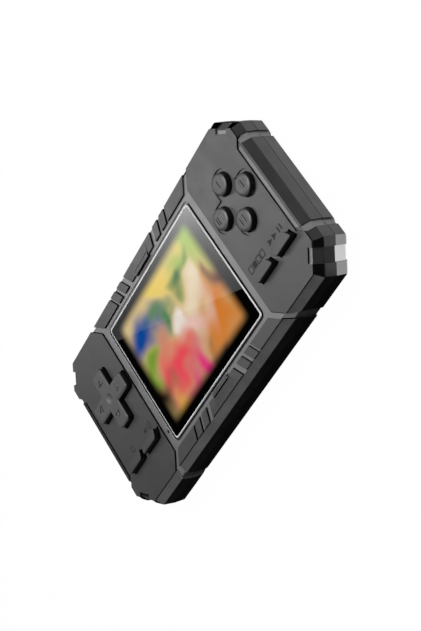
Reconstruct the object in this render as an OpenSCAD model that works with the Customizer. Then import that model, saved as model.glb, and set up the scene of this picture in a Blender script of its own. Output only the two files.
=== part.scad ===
// Handheld game console with a landscape screen, a direction pad, four round action
// buttons and two pairs of small keys. It lies on its back: +X runs to the right of the
// screen, +Y to the top edge and +Z out of the screen, with the origin under the middle
// of the back face.

/* [Screen] */
// Length of the picture
view_l = 61; // [50:0.5:80]
// Width of the picture
view_w = 46; // [38:0.5:60]
// Black border of the screen cover beside the picture
lens_border_x = 4.8; // [3.5:0.1:8]
// Black border of the screen cover above and below the picture
lens_border_y = 3.6; // [2.8:0.05:6]
// Thickness of the screen cover
lens_t = 1.3; // [0.8:0.1:2]
// Height of the screen cover above the channel round it
lens_proud = 0.25; // [0:0.05:0.5]
// Corner radius of the screen cover
lens_r = 1.5; // [0.8:0.1:4]
// Polished bevel round the screen cover
lens_bevel = 0.25; // [0.1:0.05:0.7]
// Width of the open groove round the screen cover
lens_gap = 0.9; // [0.4:0.05:2]
// Depth of that groove
groove_d = 0.5; // [0.2:0.05:0.8]
// Side clearance of the screen cover under the groove
lens_fit = 0.15; // [0.05:0.05:0.3]
// Thickness of the tape under the screen cover
tape_t = 0.2; // [0.1:0.05:0.4]
// Width of the tape under the screen cover
tape_w = 2.2; // [1.5:0.1:2.6]
// Thickness of the ledge that carries the screen cover
ledge_t = 1.2; // [0.8:0.1:2]
// Width of the window frame outside the groove
frame_w = 1.6; // [1:0.1:2]
// Gap between the picture and the edge of the window
window_gap = 0.6; // [0.2:0.1:1]
// Border of the display glass beside the picture
glass_border = 2.5; // [1.5:0.1:3]
// Ledge of the display glass that carries the ribbon
glass_tail = 2.4; // [1.8:0.1:3]
// Thickness of the display glass
glass_t = 1.2; // [0.8:0.1:2]
// Thickness of the backlight
backlight_t = 1; // [0.8:0.1:2]
// Sheet thickness of the display tray
tray_t = 0.3; // [0.2:0.05:0.5]
// Height of the display tray's sides above its floor
tray_side = 1.8; // [1:0.1:2.1]
// Thickness of the foam behind the display
foam_t = 0.8; // [0.5:0.1:2]
// Width of the display ribbon
ribbon_w = 16; // [8:0.5:20]
// Thickness of the display ribbon
ribbon_t = 0.15; // [0.1:0.05:0.3]

/* [Case] */
// Width of the channel beside the screen
ring_x = 3.4; // [2:0.05:5]
// Width of the channel above and below the screen
ring_y = 1.7; // [1:0.05:3]
// Length of each end plate
plate_l = 32.3; // [31:0.1:45]
// Depth of the pads along the long edges
pad_d = 4.9; // [4:0.1:8]
// Height of plates and pads above the channels
plate_rise = 0.65; // [0.3:0.05:0.8]
// Depth of the channels where they run down the sides
channel_d = 0.6; // [0.3:0.05:0.8]
// How far the front bevel leans in
front_inset = 2.3; // [1.5:0.1:3.5]
// Height of the front bevel
front_bevel_h = 2.95; // [2:0.05:4]
// How far the back bevel leans in
back_inset = 2; // [1:0.1:3]
// Height of the back bevel
back_bevel_h = 2.2; // [1.5:0.1:3]
// How far each shell wall leans in from the seam to its bevel
draft = 0.3; // [0.1:0.05:0.6]
// Length of a corner cut along one side of the front face
corner_cut = 7.8; // [6:0.1:10]
// How much a corner cut grows for each step outwards
corner_spread = 0.72; // [0.5:0.02:0.9]
// Width of the channel down each corner cut
corner_slot_w = 5.4; // [3:0.1:6]
// How far that channel lies from the middle of the cut, towards the end
corner_slot_shift = 0.6; // [0:0.1:1]
// Depth of that channel's notch in the end plate
corner_slot_d = 2; // [1:0.1:3]
// Height of the seam between the shells
seam_h = 7.4; // [7:0.1:8]
// Open width of the seam
seam_gap = 0.2; // [0.1:0.05:0.4]
// Shell wall, channels included
wall = 2.2; // [2:0.1:3]
// Thickness of the front shell under the channels
face_t = 1.35; // [1.2:0.05:2]
// Thickness of the back shell's floor
floor_t = 1.6; // [1.2:0.1:2.4]
// Thickness of the tongue that lines up the shells
tongue_t = 0.7; // [0.5:0.05:0.9]
// Height of the tongue above the seam
tongue_h = 0.8; // [0.5:0.1:1]
// Side clearance of the tongue
tongue_gap = 0.1; // [0.05:0.05:0.2]

/* [Face pattern] */
// Where each slot beside the middle pad starts, from the middle of the case
slot_start = [9.8, 16.4, 22.1]; // [8:0.1:26]
// Width of those slots
slot_w = [2.8, 1.9, 1.2]; // [0.8:0.1:3.4]
// Slant of the slots across a pad
slot_slant = 2.4; // [0:0.1:4]
// Half length of the lip on the middle pad
lip_l = 5.5; // [3:0.1:7]
// How far the lip reaches towards the screen
lip_d = 0.7; // [0.3:0.1:0.9]
// Width of the flat lip top on the pad
lip_w = 0.65; // [0.4:0.05:1.5]
// Height of the lip above the pad
lip_rise = 0.5; // [0.2:0.05:0.8]
// How much the lip widens on each side towards the edge of the case
lip_flare = 1.9; // [0.5:0.1:2.5]
// Width of the slit behind the lip
lip_slit_w = 0.45; // [0.2:0.05:0.8]
// Width of the diagonal channels
diagonal_w = 2.8; // [2:0.1:4]
// Extra width of the diagonal channels on the sides
diagonal_flare = 1.3; // [0.5:0.1:2]
// Half length of the straight end bar
end_bar_l = 19; // [12:0.1:20]
// Width of the end bar on the front face
end_bar_w = 2.1; // [2:0.1:4]
// Share of the plates' rise that the end bar's top loses towards its outer edge
end_bar_fall = 0.75; // [0.2:0.05:1]
// Fine gap between an end plate and its end bar
end_gap = 0.8; // [0.3:0.05:1]
// Width of the channel between an end panel and its corners
end_channel_w = 2.2; // [1.5:0.1:3]

/* [Direction pad] */
// Distance of the pad's centre from the inner edge of its plate
dpad_in = 13; // [12.9:0.1:18]
// Height of the pad's centre above the middle of the case
dpad_y = 7.4; // [5:0.1:10]
// Length across opposite arms
dpad_l = 24.7; // [20:0.1:25]
// Width of an arm
dpad_w = 7.35; // [5:0.05:9]
// Corner radius of an arm
dpad_r = 1.1; // [0.5:0.1:2]
// Height above the plate
dpad_rise = 2.7; // [1.5:0.1:4]
// Bevel round the top
dpad_bevel = 0.5; // [0.2:0.1:0.8]
// Gap to the plate
dpad_gap = 0.5; // [0.5:0.05:0.8]
// Radius of the hidden flange
dpad_flange_r = 9.2; // [8:0.1:10]
// Thickness of the hidden flange
dpad_flange_t = 0.8; // [0.6:0.1:1]
// Free height over the flange
dpad_lift = 1; // [1:0.1:1.3]
// Radius of the ball that the pad rocks on
ball_r = 1.8; // [1.4:0.1:2.2]
// Running clearance of the ball
ball_gap = 0.08; // [0.03:0.01:0.1]
// Radius of the dimple in the middle
dimple_r = 2.6; // [1.5:0.1:3.2]
// Distance of each triangle mark's base from the centre
triangle_at = 6.5; // [5:0.1:7.5]
// Length of a triangle mark
triangle_l = 2.6; // [1.8:0.1:3.5]
// Half width of a triangle mark's base
triangle_half = 1.9; // [1.2:0.1:2.5]

/* [Action buttons] */
// Distance of the group's centre from the inner edge of its plate
cluster_in = 15.2; // [14:0.1:18]
// Height of the group's centre above the middle of the case
cluster_y = 8.1; // [5:0.1:10]
// Distance of each button from the group's centre
cluster_r = 8.45; // [8:0.05:9.5]
// Radius of a button
button_r = 4; // [3:0.1:4.4]
// Height of a button above the plate
button_rise = 2; // [1.3:0.1:3]
// Height of a button's rounded edge
button_fillet = 0.6; // [0.3:0.1:1.2]
// Width of a button's rounded edge
button_crown = 1.4; // [0.5:0.1:2]
// Radius of the joined hollows round the buttons
hollow_r = 5.4; // [4.6:0.1:5.8]
// Depth of these hollows
hollow_d = 0.5; // [0.2:0.1:0.7]
// Width of a button's hidden flange
button_flange = 1.1; // [0.8:0.1:1.2]
// Travel of a button
button_travel = 1.2; // [0.6:0.1:1.2]
// Length of the tally marks on a button
tally_l = 3.2; // [2:0.1:4]
// Spacing of the tally marks
tally_pitch = 1; // [0.8:0.1:1.2]

/* [Small keys] */
// Front left corner of each right-hand key, from the inner edge of the plate
right_key_in = [4.9, 18.2]; // [3:0.1:22]
// Front right corner of each left-hand key, from the inner edge of the plate
left_key_in = [15.4, 2.3]; // [2:0.1:20]
// Distance of the front side of the keys below the middle of the case
key_front = 20.1; // [19:0.1:22]
// Length of a key
key_l = 10.6; // [8:0.1:10.8]
// Depth of a key
key_w = 3.4; // [2.5:0.1:4]
// Slant of a key's ends
key_slant = 1.7; // [0:0.1:1.9]
// Height of a key above the plate
key_rise = 2.7; // [1:0.1:3.5]
// Width of a key's hidden flange
key_flange = 0.7; // [0.5:0.1:0.9]
// Travel of a key
key_travel = 1; // [0.5:0.1:1.2]

/* [Button fits] */
// Side gap between a button or key and the plate
button_gap = 0.3; // [0.2:0.05:0.4]
// Free height between a flange and the front shell
flange_gap = 0.2; // [0.1:0.05:0.3]
// Thickness of button and key flanges
flange_t = 1.2; // [0.8:0.1:1.4]
// Thickness of the silicone mats
mat_t = 0.6; // [0.4:0.1:0.8]
// Free height between a pressed button and its dome
press_gap = 0.3; // [0.1:0.1:0.5]
// Radius of a dome
dome_r = 1.6; // [1:0.1:2]
// Width of engraved marks
mark_w = 0.45; // [0.3:0.05:0.6]
// Depth of engraved marks
mark_d = 0.3; // [0.1:0.05:0.5]

/* [Board] */
// Thickness of the board
board_t = 1.2; // [0.8:0.1:1.6]
// Distance of the board from the seam line
board_inset = 5.4; // [5:0.1:7]
// Edge length of the main chip
chip_l = 14; // [8:0.5:16]
// Thickness of the chips
chip_t = 1.1; // [0.6:0.1:2]
// Distance of both chips from the inner edge of the right-hand plate
chip_in = 8.4; // [7.5:0.1:12]
// Distance of the main chip below the middle of the case
chip_y = 8; // [7:0.5:12]
// Length of the memory chip
memory_l = 12; // [8:0.5:14]
// Width of the memory chip
memory_w = 18; // [12:0.5:20]
// Distance of the memory chip above the middle of the case
memory_y = 11; // [10:0.5:13]
// Radius of the coil
coil_r = 3; // [2:0.1:3.5]
// Height of the coil
coil_h = 3; // [1.5:0.1:4]
// Length of the crystal
crystal_l = 11; // [8:0.5:12]
// Width of the crystal
crystal_w = 4.5; // [3:0.1:5]
// Height of the crystal
crystal_h = 3.5; // [2:0.1:4]
// Radius of the capacitors
capacitor_r = 2.5; // [1.5:0.1:3]
// Height of the capacitors
capacitor_h = 5; // [3:0.1:6]
// Spacing of the capacitors
capacitor_pitch = 8; // [6.5:0.5:10]

/* [Battery] */
// Length of the battery
battery_l = 53; // [45:0.5:56]
// Width of the battery
battery_w = 34; // [30:0.5:38]
// Thickness of the battery
battery_t = 5.6; // [4:0.1:6.5]
// Play round the battery
battery_gap = 0.2; // [0.1:0.05:0.5]
// Wall of the battery box
box_wall = 2; // [1.8:0.1:2.5]
// Roof of the battery box
box_roof = 0.7; // [0.6:0.1:1.2]
// Free height between the battery box and the board
box_gap = 0.2; // [0.1:0.05:0.5]
// Thickness of the battery cover
cover_t = 1.2; // [1:0.1:1.4]
// How deep the cover lies in the back face
cover_sink = 0.3; // [0.1:0.05:0.4]
// Gap round the cover
cover_gap = 0.25; // [0.1:0.05:0.4]
// Ledge that carries the cover
cover_ledge = 1.5; // [1:0.1:2]
// Width, thickness and height of the cover's legs
leg_size = [6, 0.9, 2.5]; // [0.6:0.1:8]
// Distance of the legs from the middle of the case
leg_at = 12; // [10:0.5:13]
// Width of a battery contact
contact_w = 1.6; // [1:0.1:2]
// Thickness of a battery contact
contact_t = 0.3; // [0.2:0.05:0.5]
// Spacing of the battery contacts
contact_pitch = 3; // [2.5:0.1:4]

/* [Speaker] */
// Radius of the speaker
speaker_r = 11.5; // [8:0.5:12]
// Thickness of the speaker
speaker_t = 4; // [3:0.1:4.4]
// Distance of the speaker from the inner edge of the left-hand plate
speaker_in = 8.4; // [6:0.1:14]
// Distance of the speaker below the middle of the case
speaker_y = 11; // [9:0.1:12]
// Spacing of the speaker's two contacts
speaker_pitch = 6; // [4:0.1:8]
// Radius of a speaker contact
speaker_pin_r = 0.7; // [0.4:0.1:1]
// Thickness of the foam ring under the speaker
gasket_t = 0.4; // [0.2:0.1:0.8]
// Radius of a grille hole
grille_r = 0.7; // [0.4:0.1:0.9]
// Spacing of the grille holes
grille_pitch = 3; // [2.4:0.1:3.4]
// Rings of grille holes round the middle one
grille_rings = 2; // [1:1:3]

/* [Top edge] */
// Distance of the earphone socket inside the right-hand plate
jack_in = 9.6; // [6:0.1:12]
// Radius of the earphone socket
jack_r = 1.8; // [1.76:0.01:1.85]
// Radius of the socket's nose
jack_nose_r = 2.8; // [2.4:0.1:3]
// Width, length and height of the earphone socket's body
jack_size = [6.4, 11.5, 5.2]; // [5:0.1:14]
// Place of the charging socket along the edge
usb_x = 14; // [8:0.5:18]
// Width, length and height of the charging socket
usb_size = [7.6, 8.5, 3.9]; // [3:0.1:10]
// Sheet thickness of the charging socket
usb_wall = 0.4; // [0.3:0.05:0.6]
// How deep both sockets lie in the edge
socket_sink = 0.5; // [0.3:0.1:1]
// Gap round the sockets
socket_gap = 0.3; // [0.2:0.05:0.5]
// Place of the power switch along the edge, when off
switch_x = -22; // [-28:0.5:-10]
// Height of the power switch
switch_z = 5.1; // [4.8:0.1:5.4]
// Travel of the power switch
switch_travel = 3; // [1.5:0.1:4]
// Length and height of the switch's thumb pad
thumb_size = [6, 2.2]; // [1.8:0.1:8]
// Length and height of the switch's neck
neck_size = [3.4, 1.6]; // [1:0.1:5]
// Depth of the hollow round the thumb pad
thumb_sink = 1; // [0.8:0.1:1.1]
// Gap round the moving switch
switch_gap = 0.3; // [0.2:0.05:0.4]

/* [Status light] */
// Distance of the light outside the groove round the screen cover
light_out = 1.2; // [0.8:0.1:2]
// Distance of the light above the lower edge of that groove
light_up = 6.15; // [3:0.05:12]
// Radius of the light pipe
light_r = 0.5; // [0.4:0.05:0.8]
// Gap round the light pipe
light_gap = 0.08; // [0.03:0.01:0.15]
// Width, depth and height of the light source
led_size = [1.6, 1.2, 0.6]; // [0.4:0.1:2]

/* [Screws] */
// Distance of the corner screws from the ends of the front face
screw_in_x = 8.1; // [7:0.1:11]
// Distance of the corner screws from the long sides of the front face
screw_in_y = 7.6; // [7:0.1:10]
// Distance of the middle screws from the long sides of the front face
screw_mid_in = 2.9; // [2.7:0.1:3.2]
// Distance of the board screws from the inner edge of the end plates
board_screw_in = 1.6; // [1:0.1:2]
// Distance of the board screws from the middle of the case
board_screw_y = 25; // [24.5:0.1:25.5]
// Radius of a case screw's shank
screw_r = 0.98; // [0.8:0.02:1.2]
// Radius of a case screw's head
screw_head_r = 1.9; // [1.6:0.1:2.1]
// Height of a case screw's head
screw_head_h = 1.2; // [0.8:0.1:1.4]
// Height of the seat under a case screw's head
screw_seat_h = 2.6; // [2.2:0.1:3.2]
// Length of a case screw under its head
screw_l = 9.2; // [7:0.1:10]
// Radius of a board screw's shank
board_screw_r = 0.8; // [0.6:0.05:0.9]
// Radius of a board screw's head
board_head_r = 1.5; // [1.3:0.1:1.8]
// Height of a board screw's head
board_head_h = 0.9; // [0.6:0.1:1]
// Length of a board screw under its head
board_screw_l = 4; // [3:0.1:4.2]
// Clearance of a screw in its pilot hole
pilot_gap = 0.02; // [0.01:0.01:0.05]
// Clearance of a screw in the piece that it clamps
clamp_gap = 0.2; // [0.1:0.05:0.4]
// Radius of the case bosses
boss_r = 2.6; // [2.2:0.1:2.8]
// Radius of the board bosses
board_boss_r = 2.1; // [1.8:0.1:2.4]

/* [Hidden] */
$fn = 48;
HULL_FN = 32;
CUT = 1;
SLICE = 0.02;
LAP = 0.3;

// Plan of the front face, from the picture out to the seam line
lens_l = view_l + 2 * lens_border_x;
lens_w = view_w + 2 * lens_border_y;
pocket_x = lens_l / 2 + lens_gap;
pocket_y = lens_w / 2 + lens_gap;
plate_x = pocket_x + ring_x;
pad_y = pocket_y + ring_y;
edge_x = plate_x + plate_l;
edge_y = pad_y + pad_d;
half_l = edge_x + front_inset + draft;
half_w = edge_y + front_inset + draft;

// Heights, stacked from the back face
battery_z = cover_sink + cover_t + battery_gap;
box_top = battery_z + battery_t + battery_gap + box_roof;
board_z = box_top + box_gap;
board_top = board_z + board_t;
tray_z = board_top + foam_t;
backlight_z = tray_z + tray_t;
glass_z = backlight_z + backlight_t;
ledge_z = glass_z + glass_t;
seat_z = ledge_z + ledge_t;
lens_z = seat_z + tape_t;
face_z = lens_z + lens_t - lens_proud;
plate_z = face_z + plate_rise;
ceiling_z = face_z - face_t;
shoulder_z = face_z - front_bevel_h;

// Centres of the moving groups
dpad_at = [-plate_x - dpad_in, dpad_y];
cluster_at = [plate_x + cluster_in, cluster_y];
light_at = [-pocket_x - light_out, light_up - pocket_y];
right_key_at = [for (x = right_key_in) [plate_x + x, -key_front]];
left_key_at = [for (x = left_key_in) [-plate_x - x, -key_front]];
flange_top = ceiling_z - flange_gap;
flange_z = flange_top - flange_t;
button_dome_z = flange_z - button_travel - press_gap;
key_dome_z = flange_z - key_travel - press_gap;
dpad_flange_z = ceiling_z - dpad_lift - dpad_flange_t;
pivot_z = dpad_flange_z - ball_r / 3;
dpad_dome_z = dpad_flange_z - dpad_lift;
dpad_dome_at = dpad_flange_r - dome_r;

// Display, battery, sockets and screws
window_l = view_l + 2 * window_gap;
window_w = view_w + 2 * window_gap;
glass_l = view_l + 2 * glass_border + 2 * window_gap;
glass_w = view_w + 2 * glass_border + 2 * window_gap;
bay_l = battery_l + 2 * battery_gap;
bay_w = battery_w + 2 * battery_gap;
cover_l = bay_l + 2 * cover_ledge;
cover_w = bay_w + 2 * cover_ledge;
chip_at = [plate_x + chip_in, -chip_y];
memory_at = [plate_x + chip_in, memory_y];
speaker_at = [-plate_x - speaker_in, -speaker_y];
cone_r = speaker_r * 0.8;
magnet_r = speaker_r * 0.6;
jack_x = plate_x - jack_in;
jack_z = board_z - jack_size[2] / 2;
socket_y = half_w - socket_sink;
thumb_floor_y = half_w - thumb_sink - draft;
speaker_z = floor_t + gasket_t;
corner_screw = [edge_x - screw_in_x, edge_y - screw_in_y];
mid_screw = [0, edge_y - screw_mid_in];
case_screw_at = concat(
    [for (sx = [-1, 1], sy = [-1, 1]) [sx * corner_screw[0], sy * corner_screw[1]]],
    [for (sy = [-1, 1]) [mid_screw[0], sy * mid_screw[1]]]
);
board_screw_at = [
    for (sx = [-1, 1], sy = [-1, 1]) [sx * (plate_x + board_screw_in), sy * board_screw_y]
];

// Corners of the case plan, moved in from the seam line
function case_points(inset) =
    let (
        grown = front_inset + draft - inset,
        a = edge_x + grown,
        b = edge_y + grown,
        c = corner_cut + grown * corner_spread
    )
    [
        [a, c - b], [a, b - c], [a - c, b], [c - a, b],
        [-a, b - c], [-a, c - b], [c - a, -b], [a - c, -b]
    ];

// Corners of a slanted key, from its front left corner
function key_points(slant, grow) = [
    [-grow, -grow],
    [key_l + grow, -grow],
    [key_l + slant + grow, key_w + grow],
    [slant - grow, key_w + grow]
];

module case_slice(z, inset) {
    translate([0, 0, z]) linear_extrude(SLICE) polygon(case_points(inset));
}

module rounded_plate(l, w, r) {
    square([l - 2 * r, w], center = true);
    square([l, w - 2 * r], center = true);
    for (x = [r - l / 2, l / 2 - r], y = [r - w / 2, w / 2 - r]) translate([x, y]) circle(r);
}

module block(size, at) {
    translate([at[0] - size[0] / 2, at[1] - size[1] / 2, at[2]]) cube(size);
}

module both_ends() {
    children();
    mirror([1, 0, 0]) children();
}

module both_edges() {
    children();
    mirror([0, 1, 0]) children();
}

module at_each(places) {
    for (p = places) translate([p[0], p[1], 0]) children();
}

// Outer skin of the front half up to the channel floors, which are the same skin moved in
module front_skin(inset) {
    hull() {
        case_slice(seam_h, inset);
        case_slice(shoulder_z, inset + draft);
        case_slice(face_z - SLICE, inset + draft + front_inset);
    }
}

// The same skin with an upright step on it, as high as the plates
module plate_skin() {
    front_skin(0);
    translate([0, 0, face_z - LAP]) linear_extrude(plate_rise + LAP)
        polygon(case_points(draft + front_inset));
}

// Outer skin of the back half
module back_skin(inset) {
    hull() {
        case_slice(0, inset + draft + back_inset);
        case_slice(back_bevel_h, inset + draft);
        case_slice(seam_h - SLICE, inset);
    }
}

// Plan of one end plate with its notched end bar
module end_plate_plan() {
    side = half_w + CUT;
    far = half_l + CUT;
    inner = pad_y - diagonal_w / 8;
    bar_x = edge_x - end_bar_w - end_gap;
    panel_y = end_bar_l + end_bar_w / 2;
    difference() {
        polygon([
            [plate_x, -inner],
            [plate_x + edge_y - inner, -edge_y],
            [plate_x + side - inner + diagonal_flare, -side],
            [far, -side],
            [far, side],
            [plate_x + side - inner + diagonal_flare, side],
            [plate_x + edge_y - inner, edge_y],
            [plate_x, inner]
        ]);
        polygon([
            [bar_x, -end_bar_l],
            [bar_x, end_bar_l],
            [bar_x + panel_y + end_channel_w - end_bar_l, panel_y + end_channel_w],
            [far + CUT, panel_y + end_channel_w],
            [far + CUT, -panel_y - end_channel_w],
            [bar_x + panel_y + end_channel_w - end_bar_l, -panel_y - end_channel_w]
        ]);
        both_edges() corner_slot_plan();
    }
    polygon([
        [bar_x + end_gap, -end_bar_l + end_gap],
        [bar_x + end_gap, end_bar_l - end_gap],
        [bar_x + end_bar_w / 2 + end_gap, panel_y - end_gap],
        [far, panel_y - end_gap],
        [far, end_gap - panel_y],
        [bar_x + end_bar_w / 2 + end_gap, end_gap - panel_y]
    ]);
}

// Channel down the middle of one corner cut
module corner_slot_plan() {
    middle = [edge_x - corner_cut / 2, edge_y - corner_cut / 2];
    translate(middle) rotate(45) translate([-corner_slot_d, -corner_slot_w / 2 - corner_slot_shift])
        square([corner_cut, corner_slot_w]);
}

// Plan of the pads along one long edge, with their side wall
module edge_pad_plan() {
    inner_x = plate_x - diagonal_w;
    side = half_w + CUT;
    polygon([
        [-inner_x, pad_y],
        [inner_x, pad_y],
        [inner_x + side - pad_y, side],
        [-inner_x - side + pad_y, side]
    ]);
    polygon([
        [-lip_l - lip_d, pad_y + LAP],
        [-lip_l, pad_y - lip_d],
        [lip_l, pad_y - lip_d],
        [lip_l + lip_d, pad_y + LAP]
    ]);
}

// Slanted slots across the pads on one side of the middle
module pad_slots_plan() {
    slope = slot_slant / pad_d;
    for (i = [0 : len(slot_start) - 1])
        polygon([
            [slot_start[i] - slope * CUT, pad_y - CUT],
            [slot_start[i] + slot_w[i] - slope * CUT, pad_y - CUT],
            [slot_start[i] + slot_w[i] + slot_slant + slope * CUT, edge_y + CUT],
            [slot_start[i] + slot_slant + slope * CUT, edge_y + CUT]
        ]);
}

// Everything that stands proud of the channels
module raised_plan() {
    both_ends() end_plate_plan();
    both_edges() edge_pad_plan();
}

module dpad_plan(grow) {
    for (turn = [0, 90]) rotate(turn) rounded_plate(dpad_l + 2 * grow, dpad_w + 2 * grow, dpad_r + grow);
}

// Round opening of the earphone socket, cut in both shells
module jack_opening() {
    translate([jack_x, half_w - wall - CUT, jack_z])
        rotate([-90, 0, 0])
            cylinder(r = jack_nose_r + socket_gap, h = wall + 2 * CUT);
}

// Opening of the charging socket, cut in both shells
module usb_opening() {
    w = usb_size[0] + 2 * socket_gap;
    h = usb_size[2] + 2 * socket_gap;
    translate([usb_x - w / 2, half_w - wall - CUT, board_z - usb_size[2] - socket_gap])
        cube([w, wall + 2 * CUT, h]);
}

module screw(shank_r, length, head_r, head_h) {
    translate([0, 0, -head_h / 4]) cylinder(r = shank_r, h = length + head_h / 4);
    difference() {
        translate([0, 0, -head_h]) cylinder(r = head_r, h = head_h);
        for (turn = [0, 90])
            rotate(turn) block([head_r, head_h / 2, head_h / 2 + CUT], [0, 0, -head_h - CUT]);
    }
}

module key_cap(at, slant) {
    translate([at[0], at[1], flange_z])
        linear_extrude(plate_z + key_rise - flange_z)
            polygon(key_points(slant, 0));
    translate([at[0], at[1], flange_z])
        linear_extrude(flange_t)
            polygon(key_points(slant, key_flange));
}

module key_hole(at, slant) {
    translate([at[0], at[1], ceiling_z - CUT])
        linear_extrude(plate_z - ceiling_z + 2 * CUT)
            polygon(key_points(slant, button_gap));
}

// Round button with a filleted edge and a number of tally marks
module round_button(at, tallies) {
    top_z = plate_z + button_rise;
    edge_z = top_z - button_fillet;
    edge_r = button_r - button_crown;
    translate([at[0], at[1], 0]) difference() {
        union() {
            translate([0, 0, flange_z]) cylinder(r = button_r + button_flange, h = flange_t);
            rotate_extrude()
                polygon(concat(
                    [[0, flange_z], [button_r, flange_z]],
                    [
                        for (a = [0 : 15 : 90])
                            [edge_r + button_crown * cos(a), edge_z + button_fillet * sin(a)]
                    ],
                    [[0, top_z]]
                ));
        }
        for (i = [0 : tallies - 1])
            block([mark_w, tally_l, CUT], [(i - (tallies - 1) / 2) * tally_pitch, 0, top_z - mark_d]);
    }
}

function action_at(turn) = cluster_at + cluster_r * [cos(turn), sin(turn)];

// Plan of the joined hollows round the action buttons
module action_hollow_plan() {
    for (turn = [0 : 90 : 270]) translate(action_at(turn)) circle(hollow_r);
    translate(cluster_at) square(2 * [cluster_r, hollow_r], center = true);
    translate(cluster_at) square(2 * [hollow_r, cluster_r], center = true);
}

module front_shell() {
    color([0.36, 0.36, 0.37]) difference() {
        union() {
            difference() {
                union() {
                    front_skin(channel_d);
                    intersection() {
                        plate_skin();
                        linear_extrude(plate_z + CUT) raised_plan();
                    }
                    both_edges() pad_lip();
                }
                front_hollow();
                lens_pocket();
                both_ends() end_bar_slope();
                both_edges() lip_slit();
                translate([0, 0, face_z]) linear_extrude(plate_z)
                    both_edges() both_ends() pad_slots_plan();
                translate([0, 0, plate_z - hollow_d]) linear_extrude(plate_z) action_hollow_plan();
            }
            window_frame();
            front_bosses();
        }
        front_openings();
    }
}

// Seat of the screen cover, with the wider groove round it
module lens_pocket() {
    translate([0, 0, seat_z]) linear_extrude(plate_z) rounded_plate(
        lens_l + 2 * lens_fit, lens_w + 2 * lens_fit, lens_r + lens_fit);
    translate([0, 0, face_z - groove_d]) linear_extrude(plate_z) rounded_plate(
        2 * pocket_x, 2 * pocket_y, lens_r + lens_gap);
}

// Slope on the top of an end bar, down towards the front bevel
module end_bar_slope() {
    reach = end_bar_l + end_bar_w / 2;
    translate([edge_x - end_bar_w, 0, plate_z])
        rotate([0, atan(plate_rise * end_bar_fall / end_bar_w), 0])
            translate([0, -reach, 0]) cube([2 * end_bar_w, 2 * reach, CUT]);
}

// Raised lip on the middle pad, with a slope that fades out towards the side
module pad_lip() {
    near = pad_y - lip_d;
    flat = pad_y + lip_w;
    far = edge_y - lip_d;
    low = face_z - LAP;
    intersection() {
        translate([-half_l, 0, 0]) rotate([90, 0, 90]) linear_extrude(2 * half_l) polygon([
            [near, low], [near, plate_z + lip_rise], [flat, plate_z + lip_rise],
            [flat + lip_rise / 2, plate_z + lip_rise / 2], [far, plate_z], [far, low]
        ]);
        linear_extrude(plate_z + lip_rise + CUT) polygon([
            [-lip_l, near], [lip_l, near], [lip_l + lip_flare, far], [-lip_l - lip_flare, far]
        ]);
    }
}

// Narrow slit that parts the lip from the slope behind it
module lip_slit() {
    translate([-lip_l, pad_y + lip_w, face_z]) cube([2 * lip_l, lip_slit_w, plate_z]);
}

// Space inside the front shell, with the rebate for the tongue of the back shell
module front_hollow() {
    hull() {
        case_slice(seam_h - CUT, wall);
        case_slice(shoulder_z - front_inset / 2, wall);
        case_slice(ceiling_z - SLICE, wall + front_inset);
    }
    translate([0, 0, seam_h - CUT]) linear_extrude(CUT + tongue_h + tongue_gap)
        polygon(case_points(wall - tongue_t - tongue_gap));
    translate([0, 0, seam_h - CUT]) linear_extrude(CUT + seam_gap / 2)
        polygon(case_points(-CUT));
}

// Frame that carries the screen cover above and the display below
module window_frame() {
    translate([0, 0, ledge_z]) linear_extrude(seat_z - ledge_z) difference() {
        square(2 * [pocket_x + frame_w, pocket_y + frame_w], center = true);
        square([window_l, window_w], center = true);
    }
}

module front_bosses() {
    at_each(case_screw_at) translate([0, 0, seam_h]) cylinder(r = boss_r, h = ceiling_z + LAP - seam_h);
    at_each(board_screw_at)
        translate([0, 0, board_top]) cylinder(r = board_boss_r, h = ceiling_z + LAP - board_top);
}

module front_openings() {
    at_each(case_screw_at) translate([0, 0, seam_h - CUT])
        cylinder(r = screw_r + pilot_gap, h = screw_seat_h + screw_l + LAP - seam_h + CUT);
    at_each(board_screw_at) translate([0, 0, board_top - CUT])
        cylinder(r = board_screw_r + pilot_gap, h = board_screw_l - board_t + LAP + CUT);
    translate([0, 0, ledge_z - CUT]) linear_extrude(ledge_t + 2 * CUT)
        square([window_l, window_w], center = true);
    translate([dpad_at[0], dpad_at[1], ceiling_z - CUT]) linear_extrude(plate_z) dpad_plan(dpad_gap);
    for (turn = [0 : 90 : 270])
        translate([action_at(turn)[0], action_at(turn)[1], ceiling_z - CUT])
            cylinder(r = button_r + button_gap, h = plate_z);
    for (at = right_key_at) key_hole(at, -key_slant);
    for (at = left_key_at) translate([-key_l, 0, 0]) key_hole(at, key_slant);
    translate([light_at[0], light_at[1], ledge_z - CUT]) cylinder(r = light_r + light_gap, h = plate_z);
    jack_opening();
    usb_opening();
}

module back_shell() {
    color([0.32, 0.32, 0.33]) difference() {
        union() {
            difference() {
                union() {
                    back_skin(channel_d);
                    intersection() {
                        back_skin(0);
                        linear_extrude(seam_h + CUT) raised_plan();
                    }
                }
                back_hollow();
                translate([0, 0, seam_h - seam_gap / 2]) linear_extrude(CUT) polygon(case_points(-CUT));
            }
            tongue();
            block([bay_l + 2 * box_wall, bay_w + 2 * box_wall, box_top - floor_t / 2], [0, 0, floor_t / 2]);
            at_each(case_screw_at)
                translate([0, 0, floor_t / 2]) cylinder(r = boss_r, h = seam_h - floor_t / 2);
            speaker_seat();
        }
        back_openings();
    }
}

module back_hollow() {
    hull() {
        case_slice(floor_t, wall + back_inset);
        case_slice(back_bevel_h + back_inset, wall);
        case_slice(seam_h + CUT, wall);
    }
}

// Rim that lines up the two shells
module tongue() {
    translate([0, 0, seam_h - CUT]) linear_extrude(CUT + tongue_h) difference() {
        polygon(case_points(wall - tongue_t));
        polygon(case_points(wall));
    }
}

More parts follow.
